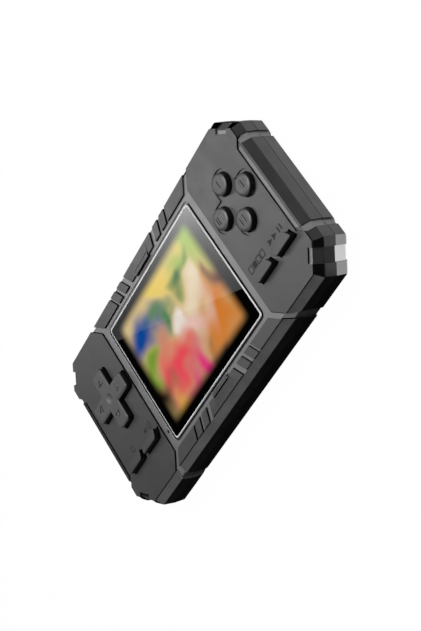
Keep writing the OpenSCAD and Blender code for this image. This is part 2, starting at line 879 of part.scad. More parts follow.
module speaker_seat() {
    translate([speaker_at[0], speaker_at[1], floor_t - LAP]) difference() {
        cylinder(r = speaker_r + battery_gap + wall / 2, h = LAP + gasket_t + speaker_t / 2);
        translate([0, 0, LAP]) cylinder(r = speaker_r + battery_gap, h = speaker_t + CUT);
    }
}

module back_openings() {
    block([bay_l, bay_w, battery_z + battery_t + battery_gap + CUT], [0, 0, -CUT]);
    block([cover_l + 2 * cover_gap, cover_w + 2 * cover_gap, cover_sink + cover_t + CUT], [0, 0, -CUT]);
    for (sx = [-1, 1], sy = [-1, 1])
        translate([sx * bay_l / 2, sy * leg_at, 0])
            block([2 * leg_size[1] + 2 * cover_gap, leg_size[0] + 2 * cover_gap,
                cover_sink + cover_t + leg_size[2] + cover_gap], [0, 0, 0]);
    contact_slot();
    at_each(case_screw_at) {
        translate([0, 0, -CUT]) cylinder(r = screw_head_r + clamp_gap, h = CUT + screw_seat_h);
        cylinder(r = screw_r + clamp_gap, h = seam_h + CUT);
    }
    translate([speaker_at[0], speaker_at[1], -CUT]) speaker_grille();
    jack_opening();
    usb_opening();
    switch_opening();
}

// Opening in the end of the battery box for the contacts
module contact_slot() {
    slot_y = 2 * contact_pitch + contact_w + 2 * box_wall;
    translate([bay_l / 2 - CUT, -slot_y / 2, battery_z + battery_t / 2])
        cube([box_wall + 2 * CUT, slot_y, battery_t / 2 - CUT]);
}

module speaker_grille() {
    cylinder(r = grille_r, h = floor_t + 2 * CUT);
    for (ring = [1 : grille_rings], i = [0 : 6 * ring - 1])
        rotate(60 * i / ring) translate([ring * grille_pitch, 0, 0])
            cylinder(r = grille_r, h = floor_t + 2 * CUT);
}

// Hollow and slot for the power switch
module switch_opening() {
    mid_x = switch_x + switch_travel / 2;
    hollow = thumb_size + 2 * [switch_gap, switch_gap] + [switch_travel, 0];
    slot = neck_size + 2 * [switch_gap, switch_gap] + [switch_travel, 0];
    translate([mid_x - hollow[0] / 2, thumb_floor_y, switch_z - hollow[1] / 2])
        cube([hollow[0], thumb_sink + draft + CUT, hollow[1]]);
    translate([mid_x - slot[0] / 2, half_w - wall - CUT, switch_z - slot[1] / 2])
        cube([slot[0], wall + 2 * CUT, slot[1]]);
}

module lens() {
    color([0.1, 0.1, 0.11]) hull() {
        translate([0, 0, lens_z]) linear_extrude(lens_t - lens_bevel)
            rounded_plate(lens_l, lens_w, lens_r, $fn = HULL_FN);
        translate([0, 0, lens_z]) linear_extrude(lens_t)
            rounded_plate(lens_l - 2 * lens_bevel, lens_w - 2 * lens_bevel, lens_r, $fn = HULL_FN);
    }
}

module lens_adhesive() {
    color("dimgray") translate([0, 0, seat_z]) linear_extrude(tape_t) difference() {
        square([lens_l - 2 * lens_r, lens_w - 2 * lens_r], center = true);
        square([lens_l - 2 * lens_r - 2 * tape_w, lens_w - 2 * lens_r - 2 * tape_w], center = true);
    }
}

module lcd_glass() {
    color([0.15, 0.2, 0.25]) translate([-glass_l / 2, -glass_w / 2 - glass_tail, glass_z])
        cube([glass_l, glass_w + glass_tail, glass_t]);
}

module lcd_backlight() {
    color("white") block([glass_l, glass_w, backlight_t], [0, 0, backlight_z]);
}

module lcd_tray() {
    side_gap = tray_t / 3;
    inner_l = glass_l + 2 * side_gap;
    inner_w = glass_w + side_gap;
    color("silver") difference() {
        translate([-inner_l / 2 - tray_t, -glass_w / 2, tray_z])
            cube([inner_l + 2 * tray_t, inner_w + tray_t, tray_t + tray_side]);
        translate([-inner_l / 2, -glass_w / 2 - CUT, backlight_z])
            cube([inner_l, inner_w + CUT, tray_side + CUT]);
    }
}

module lcd_foam() {
    color("black") block([view_l, view_w, foam_t], [0, 0, board_top]);
}

// Ribbon from the tail of the display glass down to the board
module lcd_ribbon() {
    tail_y = -glass_w / 2 - glass_tail;
    color("darkorange") translate([ribbon_w / 2, 0, 0]) {
        translate([0, tail_y - ribbon_t, glass_z - ribbon_t]) cube([ribbon_w, glass_tail / 2, ribbon_t]);
        translate([0, tail_y - ribbon_t, board_top]) cube([ribbon_w, ribbon_t, glass_z - board_top]);
        translate([0, tail_y - ribbon_t, board_top]) cube([ribbon_w, glass_tail, ribbon_t]);
    }
}

module main_board() {
    color("darkgreen") difference() {
        translate([0, 0, board_z]) linear_extrude(board_t) polygon(case_points(board_inset));
        at_each(case_screw_at)
            translate([0, 0, board_z - CUT]) cylinder(r = boss_r + clamp_gap, h = board_t + 2 * CUT);
        at_each(board_screw_at)
            translate([0, 0, board_z - CUT]) cylinder(r = board_screw_r + clamp_gap, h = board_t + 2 * CUT);
    }
}

module main_chip() {
    color([0.12, 0.12, 0.12]) block([chip_l, chip_l, chip_t], [chip_at[0], chip_at[1], board_z - chip_t]);
}

module memory_chip() {
    color([0.12, 0.12, 0.12])
        block([memory_l, memory_w, chip_t], [memory_at[0], memory_at[1], board_z - chip_t]);
}

// Coil, crystal and two capacitors under the board
module board_components() {
    color("gray") {
        translate([chip_at[0] - chip_l, chip_at[1], board_z - coil_h]) cylinder(r = coil_r, h = coil_h);
        block([crystal_w, crystal_l, crystal_h], [chip_at[0] + chip_l, chip_at[1], board_z - crystal_h]);
        for (y = [-capacitor_pitch / 2, capacitor_pitch / 2])
            translate([memory_at[0] + memory_l, memory_at[1] + y, board_z - capacitor_h])
                cylinder(r = capacitor_r, h = capacitor_h);
    }
}

module dpad() {
    top_z = plate_z + dpad_rise;
    color([0.33, 0.33, 0.34]) translate([dpad_at[0], dpad_at[1], 0]) difference() {
        union() {
            for (turn = [0, 90]) rotate(turn) hull() {
                translate([0, 0, dpad_flange_z]) linear_extrude(top_z - dpad_bevel - dpad_flange_z)
                    rounded_plate(dpad_l, dpad_w, dpad_r, $fn = HULL_FN);
                translate([0, 0, dpad_flange_z]) linear_extrude(top_z - dpad_flange_z)
                    rounded_plate(dpad_l - 2 * dpad_bevel, dpad_w - 2 * dpad_bevel, dpad_r, $fn = HULL_FN);
            }
            translate([0, 0, dpad_flange_z]) cylinder(r = dpad_flange_r, h = dpad_flange_t);
        }
        translate([0, 0, pivot_z]) sphere(r = ball_r + ball_gap);
        translate([0, 0, top_z + 2 * dimple_r - dpad_bevel]) sphere(r = 2 * dimple_r);
        for (turn = [0 : 90 : 270])
            rotate(turn) translate([triangle_at, 0, top_z - mark_d]) triangle_mark();
    }
}

// Outline of a triangle that points towards +X
module triangle_mark() {
    points = [[0, -triangle_half], [triangle_l, 0], [0, triangle_half]];
    inner_r = triangle_half * triangle_l / (triangle_half + norm([triangle_half, triangle_l]));
    shrink = 1 - mark_w / inner_r;
    linear_extrude(CUT) difference() {
        polygon(points);
        polygon([for (p = points) [inner_r + (p[0] - inner_r) * shrink, p[1] * shrink]]);
    }
}

// Ball nub on a short stem, just clear of the board
module dpad_pivot() {
    color("dimgray") translate([dpad_at[0], dpad_at[1], 0]) {
        translate([0, 0, pivot_z]) sphere(r = ball_r);
        translate([0, 0, board_top + press_gap])
            cylinder(r = ball_r / 2, h = pivot_z - board_top - press_gap);
    }
}

module action_button_top() {
    color([0.33, 0.33, 0.34]) round_button(action_at(90), 1);
}

module action_button_right() {
    color([0.33, 0.33, 0.34]) round_button(action_at(0), 2);
}

module action_button_bottom() {
    color([0.33, 0.33, 0.34]) round_button(action_at(270), 3);
}

module action_button_left() {
    color([0.33, 0.33, 0.34]) round_button(action_at(180), 4);
}

module select_button() {
    color([0.33, 0.33, 0.34]) key_cap(right_key_at[0], -key_slant);
}

module start_button() {
    color([0.33, 0.33, 0.34]) key_cap(right_key_at[1], -key_slant);
}

module reset_button() {
    color([0.33, 0.33, 0.34]) translate([-key_l, 0, 0]) key_cap(left_key_at[0], key_slant);
}

module volume_button() {
    color([0.33, 0.33, 0.34]) translate([-key_l, 0, 0]) key_cap(left_key_at[1], key_slant);
}

module dome(at, top) {
    translate([at[0], at[1], board_top]) cylinder(r = dome_r, h = top - board_top);
}

module dpad_membrane() {
    hole_r = ball_r + press_gap;
    color("lightgray") {
        translate([dpad_at[0], dpad_at[1], board_top]) difference() {
            cylinder(r = dpad_flange_r + dome_r, h = mat_t);
            translate([0, 0, -CUT]) cylinder(r = hole_r, h = mat_t + 2 * CUT);
        }
        for (turn = [0 : 90 : 270])
            dome(dpad_at + dpad_dome_at * [cos(turn), sin(turn)], dpad_dome_z);
    }
}

module action_membrane() {
    color("lightgray") {
        translate([cluster_at[0], cluster_at[1], board_top]) cylinder(r = cluster_r + 2 * dome_r, h = mat_t);
        for (turn = [0 : 90 : 270]) dome(action_at(turn), button_dome_z);
    }
}

module key_mat(places, slant) {
    mid = [(key_l + slant) / 2, key_w / 2];
    first = places[0] + mid;
    last = places[1] + mid;
    span = abs(last[0] - first[0]) + 4 * dome_r;
    color("lightgray") {
        block([span, key_w + dome_r, mat_t], [(first[0] + last[0]) / 2, first[1], board_top]);
        dome(first, key_dome_z);
        dome(last, key_dome_z);
    }
}

module left_key_membrane() {
    key_mat([for (at = left_key_at) at - [key_l, 0]], key_slant);
}

module right_key_membrane() {
    key_mat(right_key_at, -key_slant);
}

module battery() {
    color("steelblue") block([battery_l, battery_w, battery_t], [0, 0, battery_z]);
}

module battery_cover() {
    color([0.3, 0.3, 0.31]) {
        block([cover_l, cover_w, cover_t], [0, 0, cover_sink]);
        for (sx = [-1, 1], sy = [-1, 1])
            translate([sx * (bay_l / 2 + leg_size[1] / 2), sy * leg_at, 0])
                block([leg_size[1], leg_size[0], cover_t + leg_size[2]], [0, 0, cover_sink]);
    }
}

// Sprung strips from the board to the end of the battery
module battery_contacts() {
    tip_z = battery_z + battery_t / 2 + CUT / 2;
    post_x = bay_l / 2 + box_wall + 2 * contact_t;
    color("gold") for (i = [-1 : 1]) translate([0, i * contact_pitch - contact_w / 2, 0]) {
        translate([post_x, 0, tip_z]) cube([contact_t, contact_w, board_z - tip_z]);
        translate([battery_l / 2, 0, tip_z])
            cube([post_x + contact_t - battery_l / 2, contact_w, contact_t]);
    }
}

module speaker() {
    color([0.2, 0.2, 0.2]) translate([speaker_at[0], speaker_at[1], speaker_z]) difference() {
        union() {
            cylinder(r = speaker_r, h = speaker_t / 2);
            cylinder(r = magnet_r, h = speaker_t);
        }
        translate([0, 0, -CUT]) cylinder(r = cone_r, h = CUT + speaker_t / 8);
    }
}

module speaker_gasket() {
    color("black") translate([speaker_at[0], speaker_at[1], floor_t]) difference() {
        cylinder(r = speaker_r, h = gasket_t);
        translate([0, 0, -CUT]) cylinder(r = cone_r, h = gasket_t + 2 * CUT);
    }
}

module speaker_contacts() {
    base = speaker_z + speaker_t;
    color("gold") for (x = [-speaker_pitch / 2, speaker_pitch / 2])
        translate([speaker_at[0] + x, speaker_at[1], base]) cylinder(r = speaker_pin_r, h = board_z - base);
}

module power_switch_cap() {
    plate_y = half_w - wall - switch_gap;
    pad_face_y = half_w - draft;
    color([0.15, 0.15, 0.15]) {
        translate([switch_x - thumb_size[0] / 2, thumb_floor_y + switch_gap, switch_z - thumb_size[1] / 2])
            cube([thumb_size[0], pad_face_y - thumb_floor_y - switch_gap, thumb_size[1]]);
        translate([switch_x - neck_size[0] / 2, plate_y - wall, switch_z - neck_size[1] / 2])
            cube([neck_size[0], pad_face_y - plate_y + wall - LAP, neck_size[1]]);
        translate([switch_x - thumb_size[0] / 2, plate_y - neck_size[1] / 2, switch_z - thumb_size[1] / 2])
            cube([thumb_size[0], neck_size[1] / 2, thumb_size[1]]);
    }
}

module power_switch_body() {
    body_face_y = half_w - 2 * wall - 2 * switch_gap;
    body_w = 2 * neck_size[0] + switch_travel;
    body_z = switch_z - thumb_size[1] / 2;
    body_x = switch_x + switch_travel / 2 - body_w / 2;
    color("silver") translate([body_x, body_face_y - neck_size[0], body_z])
        cube([body_w, neck_size[0], board_z - body_z]);
}

module usb_socket() {
    corner = [usb_x - usb_size[0] / 2, socket_y - usb_size[1], board_z - usb_size[2]];
    color("silver") translate(corner) difference() {
        cube(usb_size);
        translate([usb_wall, usb_size[1] / 4, usb_wall])
            cube([usb_size[0] - 2 * usb_wall, usb_size[1], usb_size[2] - 2 * usb_wall]);
    }
}

module earphone_jack() {
    nose_l = wall + back_inset / 2;
    body_y = socket_y - nose_l - jack_size[1];
    color([0.12, 0.12, 0.12]) difference() {
        union() {
            translate([jack_x - jack_size[0] / 2, body_y, jack_z - jack_size[2] / 2]) cube(jack_size);
            translate([jack_x, socket_y - nose_l - CUT, jack_z]) rotate([-90, 0, 0])
                cylinder(r = min(jack_nose_r, jack_size[2] / 2), h = nose_l + CUT);
        }
        translate([jack_x, socket_y - jack_size[1], jack_z]) rotate([-90, 0, 0])
            cylinder(r = jack_r, h = jack_size[1] + CUT);
    }
}

module status_light_pipe() {
    foot_z = board_top + led_size[2] + press_gap;
    color("whitesmoke") translate([light_at[0], light_at[1], foot_z]) {
        cylinder(r = light_r, h = face_z - foot_z);
        cylinder(r = 2 * light_r, h = ledge_z - flange_gap - foot_z);
    }
}

module status_led() {
    color("ivory") block(led_size, [light_at[0], light_at[1], board_top]);
}

module case_screws() {
    color("dimgray") at_each(case_screw_at)
        translate([0, 0, screw_seat_h]) screw(screw_r, screw_l, screw_head_r, screw_head_h);
}

module board_screws() {
    color("dimgray") at_each(board_screw_at)
        translate([0, 0, board_z]) screw(board_screw_r, board_screw_l, board_head_r, board_head_h);
}

front_shell();
back_shell();
lens();
lens_adhesive();
lcd_glass();
lcd_backlight();
lcd_tray();
lcd_foam();
lcd_ribbon();
main_board();
main_chip();
memory_chip();
board_components();
dpad();
dpad_pivot();
action_button_top();
action_button_right();
action_button_bottom();
action_button_left();
select_button();
start_button();
reset_button();
volume_button();
dpad_membrane();
action_membrane();
left_key_membrane();
right_key_membrane();
battery();
battery_cover();
battery_contacts();
speaker();
speaker_gasket();
speaker_contacts();
power_switch_cap();
power_switch_body();
usb_socket();
earphone_jack();
status_light_pipe();
status_led();
case_screws();
board_screws();
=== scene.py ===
"""Looks of the handheld game console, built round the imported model."""
import math

import bmesh
import bpy
from mathutils import Matrix, Vector
from mathutils.bvhtree import BVHTree


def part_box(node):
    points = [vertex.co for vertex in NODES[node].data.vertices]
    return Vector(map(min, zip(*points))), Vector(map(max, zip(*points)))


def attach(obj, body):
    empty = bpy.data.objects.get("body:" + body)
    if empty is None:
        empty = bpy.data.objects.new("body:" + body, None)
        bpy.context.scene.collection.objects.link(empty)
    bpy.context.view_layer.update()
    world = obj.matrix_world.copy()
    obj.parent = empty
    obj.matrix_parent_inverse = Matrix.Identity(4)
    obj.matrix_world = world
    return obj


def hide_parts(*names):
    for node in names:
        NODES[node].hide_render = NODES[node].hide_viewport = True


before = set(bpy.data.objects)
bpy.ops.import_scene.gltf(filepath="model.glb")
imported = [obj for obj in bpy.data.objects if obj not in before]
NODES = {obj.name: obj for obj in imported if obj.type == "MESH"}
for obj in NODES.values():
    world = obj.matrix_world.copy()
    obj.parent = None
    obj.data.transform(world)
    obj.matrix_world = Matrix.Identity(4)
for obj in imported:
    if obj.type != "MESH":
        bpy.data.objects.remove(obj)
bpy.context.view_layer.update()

MM = 0.001
scene = bpy.context.scene
scene.view_settings.view_transform = "Standard"


def box_of(node):
    """Low and high corners of a node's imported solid, in millimetres."""
    return tuple(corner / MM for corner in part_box(node))


def middle_of(node):
    low, high = box_of(node)
    return (low + high) / 2


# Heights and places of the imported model, in millimetres
LENS_LOW, LENS_HIGH = box_of("lens")
LENS_PROUD, PLATE_RISE = 0.25, 0.65
FACE_Z = LENS_HIGH.z - LENS_PROUD
PLATE_Z = FACE_Z + PLATE_RISE
SEAM_Z = box_of("front_shell")[0].z
FACE_Y = 34.1
KEY_NECK = 13.75
PAD_NECK = 16.5
CLUSTER_AT = (middle_of("action_button_left") + middle_of("action_button_right")).xy / 2
CLUSTER_REACH = 13.6
END_BAR_X, END_BAR_Y = 69.2, 19.3
END_BAR_CREST = 70.9
# Distance along X plus that along Y, past which the corner guards and their notches lie
CORNER_SUM, NOTCH_SUM = 97.0, 95.0
SLIT_X, SLIT_Y, SLIT_W = 6.0, 30.1, 0.4
DIAGONAL_X = (38.0, 50.0)
# Distance along X less that along Y, at the inner walls of the right diagonal channels
DIAGONAL_WALL = 7.6
VIEW_L, VIEW_W = 61.2, 46.5
VIEW_AT = (-1.0, 0.85)

# Camera of the photograph, in the frame of the part
CAMERA_RIGHT = Vector((0.42432, -0.49608, -0.75753))
CAMERA_UP = Vector((0.65079, 0.74877, -0.12581))
CAMERA_BACK = Vector((0.62962, -0.43961, 0.64056))
CAMERA_AT = Vector((345.674, -239.954, 352.356))
CAMERA_LENS, CAMERA_SENSOR = 84.95, 36
CAMERA_CLIP = 0.01


# Camera
camera = bpy.data.objects.new("camera", bpy.data.cameras.new("camera"))
scene.collection.objects.link(camera)
camera.data.lens = CAMERA_LENS
camera.data.sensor_width = CAMERA_SENSOR
camera.data.clip_start = CAMERA_CLIP
camera.matrix_world = Matrix.Translation(CAMERA_AT * MM) @ Matrix(
    (CAMERA_RIGHT, CAMERA_UP, CAMERA_BACK)
).transposed().to_4x4()
scene.camera = camera


# Materials
class Shader:
    """A material's node tree with short calls for the nodes that the looks below use."""

    def __init__(self, name):
        self.material = bpy.data.materials.new(name)
        self.material.use_nodes = True
        self.tree = self.material.node_tree
        self.tree.nodes.clear()
        self.out = self.tree.nodes.new("ShaderNodeOutputMaterial")

    def node(self, kind, **settings):
        made = self.tree.nodes.new("ShaderNode" + kind)
        for key, value in settings.items():
            setattr(made, key, value)
        return made

    def link(self, source, target):
        self.tree.links.new(source, target)

    def feed(self, socket, value):
        """Links an output to the socket, or sets a constant on it."""
        if isinstance(value, bpy.types.NodeSocket):
            self.link(value, socket)
        else:
            if socket.type == "RGBA" and len(value) == 3:
                value = (*value, 1)
            socket.default_value = value

    def place(self):
        """Position on the part in metres."""
        return self.node("TexCoord").outputs["Object"]

    def noise(self, size_mm, detail, stretch=None):
        made = self.node("TexNoise")
        vector = self.place()
        if stretch:
            mapping = self.node("Mapping")
            mapping.inputs["Scale"].default_value = stretch
            self.link(vector, mapping.inputs["Vector"])
            vector = mapping.outputs[0]
        self.link(vector, made.inputs["Vector"])
        made.inputs["Scale"].default_value = 1 / (size_mm * MM)
        made.inputs["Detail"].default_value = detail
        return made.outputs[0]

    def ramp(self, value, *stops, smooth=False):
        made = self.node("ValToRGB")
        made.color_ramp.interpolation = "EASE" if smooth else "LINEAR"
        elements = made.color_ramp.elements
        while len(elements) < len(stops):
            elements.new(1)
        for element, (at, colour) in zip(elements, stops):
            element.position = at
            element.color = (*colour, 1)
        self.link(value, made.inputs["Fac"])
        return made.outputs["Color"]

    def spread(self, value, low, high, from_low=0.3, from_high=0.7, smooth=False):
        """Maps a range of the value, by default where noise mostly lies, to low and high."""
        made = self.node("MapRange", interpolation_type="SMOOTHSTEP" if smooth else "LINEAR")
        self.feed(made.inputs["Value"], value)
        for key, number in zip(
            ("From Min", "From Max", "To Min", "To Max"), (from_low, from_high, low, high)
        ):
            made.inputs[key].default_value = number
        return made.outputs[0]

    def maths(self, operation, a, b=None):
        made = self.node("Math", operation=operation)
        self.feed(made.inputs[0], a)
        if b is not None:
            self.feed(made.inputs[1], b)
        return made.outputs[0]

    def mix(self, factor, a, b):
        made = self.node("Mix", data_type="RGBA")
        self.feed(made.inputs[0], factor)
        self.feed(made.inputs[6], a)
        self.feed(made.inputs[7], b)
        return made.outputs[2]

    def bump(self, height, depth_mm):
        made = self.node("Bump")
        self.link(height, made.inputs["Height"])
        made.inputs["Distance"].default_value = depth_mm * MM
        made.inputs["Strength"].default_value = 1.0
        return made.outputs[0]

    def surface(self, **sockets):
        """Principled surface; a key such as coat_weight names the socket Coat Weight."""
        made = self.node("BsdfPrincipled")
        for key, value in sockets.items():
            name = key.replace("_", " ").title().replace("Ior", "IOR")
            self.feed(made.inputs[name], value)
        self.link(made.outputs[0], self.out.inputs[0])
        return self.material


def scaled(colour, factor):
    return tuple(c * factor for c in colour)


# Sizes of the plastic's flow clouds, uneven gloss and spark-eroded grain, in millimetres
CLOUD_SIZE, GLOSS_SIZE, GRAIN_SIZE = 22, 6, 0.2
CLOUD_VARY = 0.08
GLOSS_VARY = 0.05
GRAIN_DEPTH = 0.003


def clouded(s, colour, vary=CLOUD_VARY):
    low, high = scaled(colour, 1 - vary), scaled(colour, 1 + vary)
    return s.ramp(s.noise(CLOUD_SIZE, 3), (0.25, low), (0.75, high))


def uneven_gloss(s, rough):
    return s.spread(s.noise(GLOSS_SIZE, 4), rough - GLOSS_VARY, rough + GLOSS_VARY)


def moulded(name, colour, rough=0.42, specular=0.8, depth=GRAIN_DEPTH, metallic=0.0, ior=1.5):
    """Moulded plastic: a fine spark-eroded grain, faint flow clouds and uneven gloss."""
    s = Shader(name)
    return s.surface(
        base_color=clouded(s, colour), metallic=metallic, roughness=uneven_gloss(s, rough),
        specular_ior_level=specular, ior=ior, normal=s.bump(s.noise(GRAIN_SIZE, 3), depth),
    )


def brushed(name, colour, rough=0.3):
    """Drawn or stamped metal with fine lines along X."""
    s = Shader(name)
    lines = s.noise(0.8, 3, stretch=(1, 12, 12))
    base = s.ramp(lines, (0.2, scaled(colour, 0.8)), (0.8, scaled(colour, 1.1)))
    return s.surface(
        base_color=base, metallic=1.0, roughness=s.spread(lines, rough - 0.08, rough + 0.1),
        normal=s.bump(lines, 0.01),
    )


def soft_rubber(name, colour, rough=0.7):
    s = Shader(name)
    dust = s.noise(3, 4)
    base = s.ramp(dust, (0.3, scaled(colour, 0.85)), (0.75, scaled(colour, 1.15)))
    return s.surface(
        base_color=base, roughness=s.spread(dust, rough - 0.1, rough + 0.1),
        specular_ior_level=0.3, normal=s.bump(s.noise(0.5, 2), 0.01),
    )


PLATE_GREY = (0.050, 0.050, 0.051)
CHANNEL_GREY = (0.117, 0.117, 0.118)
# Painted highlight: the lighter inner strip of the right end bar
CREST_LIT_GREY = (0.085, 0.085, 0.086)
# Painted light: paler metallic copies of the case plastic, so that the corner guards' facets and
# grooves catch the white floor
CORNER_LIT_GREY = (0.27, 0.27, 0.275)
GROOVE_LIT_GREY = (0.6, 0.6, 0.605)
# Painted shade: black for step walls, notch and slit floors and the shadow lines at the foot of
# steps
STEP_SHADE_BLACK = (0.004, 0.004, 0.0045)
# Painted shade: the darker end bars and steep corner grooves
BAR_SHADE_GREY = (0.04, 0.04, 0.041)
# Painted light: paler copies of the channel tone for sunk slopes and walls
SLOPE_LIT_GREY = (0.31, 0.31, 0.312)
FLANK_LIT_GREY = (0.55, 0.55, 0.553)
# Painted shade and painted light of the gap round the cover: dark, and pale along its far side
MOAT_SHADE_GREY = (0.035, 0.035, 0.0355)
MOAT_LIT_GREY = (0.33, 0.33, 0.332)
MOAT_FADE = 0.6
KEY_GREY = (0.055, 0.055, 0.056)
PAD_GREY = (0.078, 0.078, 0.079)
BUTTON_GREY = (0.064, 0.064, 0.065)
# Painted shade: near-black sides of the keys, the pad and the buttons
SIDE_SHADE_BLACK = (0.005, 0.005, 0.0055)
BARREL_SHADE_BLACK = (0.012, 0.012, 0.0125)
LABEL_GREY = (0.024, 0.024, 0.025)
SWITCH_GREY = (0.02, 0.02, 0.021)
JACK_BLACK = (0.012, 0.012, 0.013)
STEEL = (0.55, 0.55, 0.56)
BRASS = (0.72, 0.54, 0.22)
BLACKENED = (0.10, 0.10, 0.105)
SILICONE = (0.35, 0.35, 0.35)
FOAM_BLACK = (0.02, 0.02, 0.02)

shell_look = moulded("shell_plastic", PLATE_GREY)
channel_look = moulded("channel_plastic", CHANNEL_GREY, ior=1.85)
crest_highlight_look = moulded("crest_painted_highlight", CREST_LIT_GREY)
corner_lit_look = moulded("corner_painted_light", CORNER_LIT_GREY, rough=0.16, metallic=1.0, depth=0.001)
groove_lit_look = moulded("corner_groove_painted_light", GROOVE_LIT_GREY, rough=0.2, metallic=1.0, depth=0.001)
# Painted shade: the black where shade falls on steps, notches and slits
step_shade_look = moulded("step_painted_shade", STEP_SHADE_BLACK, rough=0.6, specular=0.15)
bar_shade_look = moulded("bar_painted_shade", BAR_SHADE_GREY, specular=0.35)
slope_lit_look = moulded("slope_painted_light", SLOPE_LIT_GREY, rough=0.5, specular=0.5)
flank_lit_look = moulded("flank_painted_light", FLANK_LIT_GREY, rough=0.4, specular=1.0)
key_look = moulded("key_plastic", KEY_GREY, rough=0.44)
pad_look = moulded("pad_plastic", PAD_GREY, rough=0.44)
button_look = moulded("button_plastic", BUTTON_GREY, rough=0.44)
side_shade_look = moulded("key_side_painted_shade", SIDE_SHADE_BLACK, rough=0.5, specular=0.25)
barrel_shade_look = moulded("button_side_painted_shade", BARREL_SHADE_BLACK, rough=0.35, specular=0.5)
label_look = moulded("label_ink", LABEL_GREY, rough=0.6, specular=0.3, depth=0.002)
switch_look = moulded("switch_plastic", SWITCH_GREY, rough=0.45)
jack_look = moulded("jack_plastic", JACK_BLACK, rough=0.35)
steel_look = brushed("stamped_steel", STEEL)
brass_look = brushed("contact_brass", BRASS, rough=0.25)
screw_look = brushed("screw_black", BLACKENED, rough=0.35)
mat_look = soft_rubber("silicone_mat", SILICONE)
foam_look = soft_rubber("black_foam", FOAM_BLACK, rough=0.9)


def moat_shade_light_look():
    """Gap round the screen cover: painted shade in black, with painted light along the far side,
    where light falls in.
    """
    s = Shader("moat_painted_shade_and_light")
    place = s.node("SeparateXYZ")
    s.link(s.place(), place.inputs[0])
    edge = LENS_HIGH.y * MM
    far = s.spread(place.outputs["Y"], 0, 1, edge - MOAT_FADE * MM, edge)
    return s.surface(
        base_color=s.mix(far, MOAT_SHADE_GREY, clouded(s, MOAT_LIT_GREY, 0.1)),
        roughness=uneven_gloss(s, 0.6), specular_ior_level=0.15,
        normal=s.bump(s.noise(GRAIN_SIZE, 3), GRAIN_DEPTH),
    )


# Looks of a shell half, in the order of its material numbers
SHELL_LOOKS = (
    shell_look, channel_look, corner_lit_look, groove_lit_look, step_shade_look,
    bar_shade_look, slope_lit_look, flank_lit_look, moat_shade_light_look(), crest_highlight_look,
)
SHELL, CHANNEL, CORNER_LIT, GROOVE_LIT, STEP_SHADE, BAR_SHADE, SLOPE_LIT, FLANK_LIT, MOAT_SHADE_LIGHT, CREST_LIT = range(len(SHELL_LOOKS))


def glass_look():
    s = Shader("screen_cover")
    smear = s.noise(14, 4)
    return s.surface(
        base_color=(0.97, 0.98, 0.98), transmission_weight=1.0, ior=1.49,
        roughness=s.spread(smear, 0.0, 0.03),
    )


# Painted highlight: the white line of light along the cover's rim
RIM_HIGHLIGHT_DULL = (0.50, 0.51, 0.52)
RIM_HIGHLIGHT_BRIGHT = (0.88, 0.89, 0.90)


def rim_highlight_look(name, level):
    """Painted highlight along the cover's rim, dimmed by a level for painted shade."""
    s = Shader(name)
    facets = s.noise(24, 2)
    base = s.ramp(facets, (0.35, scaled(RIM_HIGHLIGHT_DULL, level)), (0.55, scaled(RIM_HIGHLIGHT_BRIGHT, level)))
    return s.surface(
        base_color=base, roughness=s.spread(facets, 0.15, 0.3), specular_ior_level=0.6,
        normal=s.bump(s.noise(0.6, 2), 0.003),
    )


# Soft spots of the abstract picture: place across and up the screen from -1 to 1, reach, colour
PICTURE_SPOTS = (
    (0.80, 0.62, 0.70, (0.33, 0.48, 0.06)),
    (0.12, 0.90, 0.50, (0.80, 0.58, 0.10)),
    (0.35, 0.50, 0.26, (0.05, 0.16, 0.03)),
    (-0.62, 0.45, 0.58, (0.003, 0.06, 0.30)),
    (-0.20, 0.35, 0.34, (0.06, 0.20, 0.07)),
    (0.66, -0.50, 0.60, (0.66, 0.20, 0.03)),
    (0.92, -0.12, 0.26, (0.20, 0.07, 0.03)),
    (0.16, -0.20, 0.46, (0.80, 0.52, 0.46)),
    (0.02, 0.05, 0.22, (0.82, 0.74, 0.66)),
    (-0.42, -0.42, 0.50, (0.80, 0.07, 0.10)),
    (-0.05, -0.82, 0.34, (0.74, 0.04, 0.20)),
    (0.36, -0.86, 0.24, (0.10, 0.06, 0.05)),
    (0.44, 0.10, 0.26, (0.80, 0.66, 0.46)),
    (-0.86, -0.10, 0.24, (0.26, 0.40, 0.05)),
    (-1.00, -0.45, 0.44, (0.010, 0.004, 0.004)),
    (-0.60, -0.92, 0.28, (0.72, 0.46, 0.04)),
)
PICTURE_LOW, PICTURE_HIGH = (0.50, 0.36, 0.15), (0.74, 0.55, 0.22)
# Where the picture starts to fade across and up, and where it ends
PICTURE_FADE, PICTURE_END = (0.85, 0.82), 1.03
PRINT_DEEP, PRINT_PALE = (0.0006, 0.0006, 0.0008), (0.001, 0.001, 0.0012)


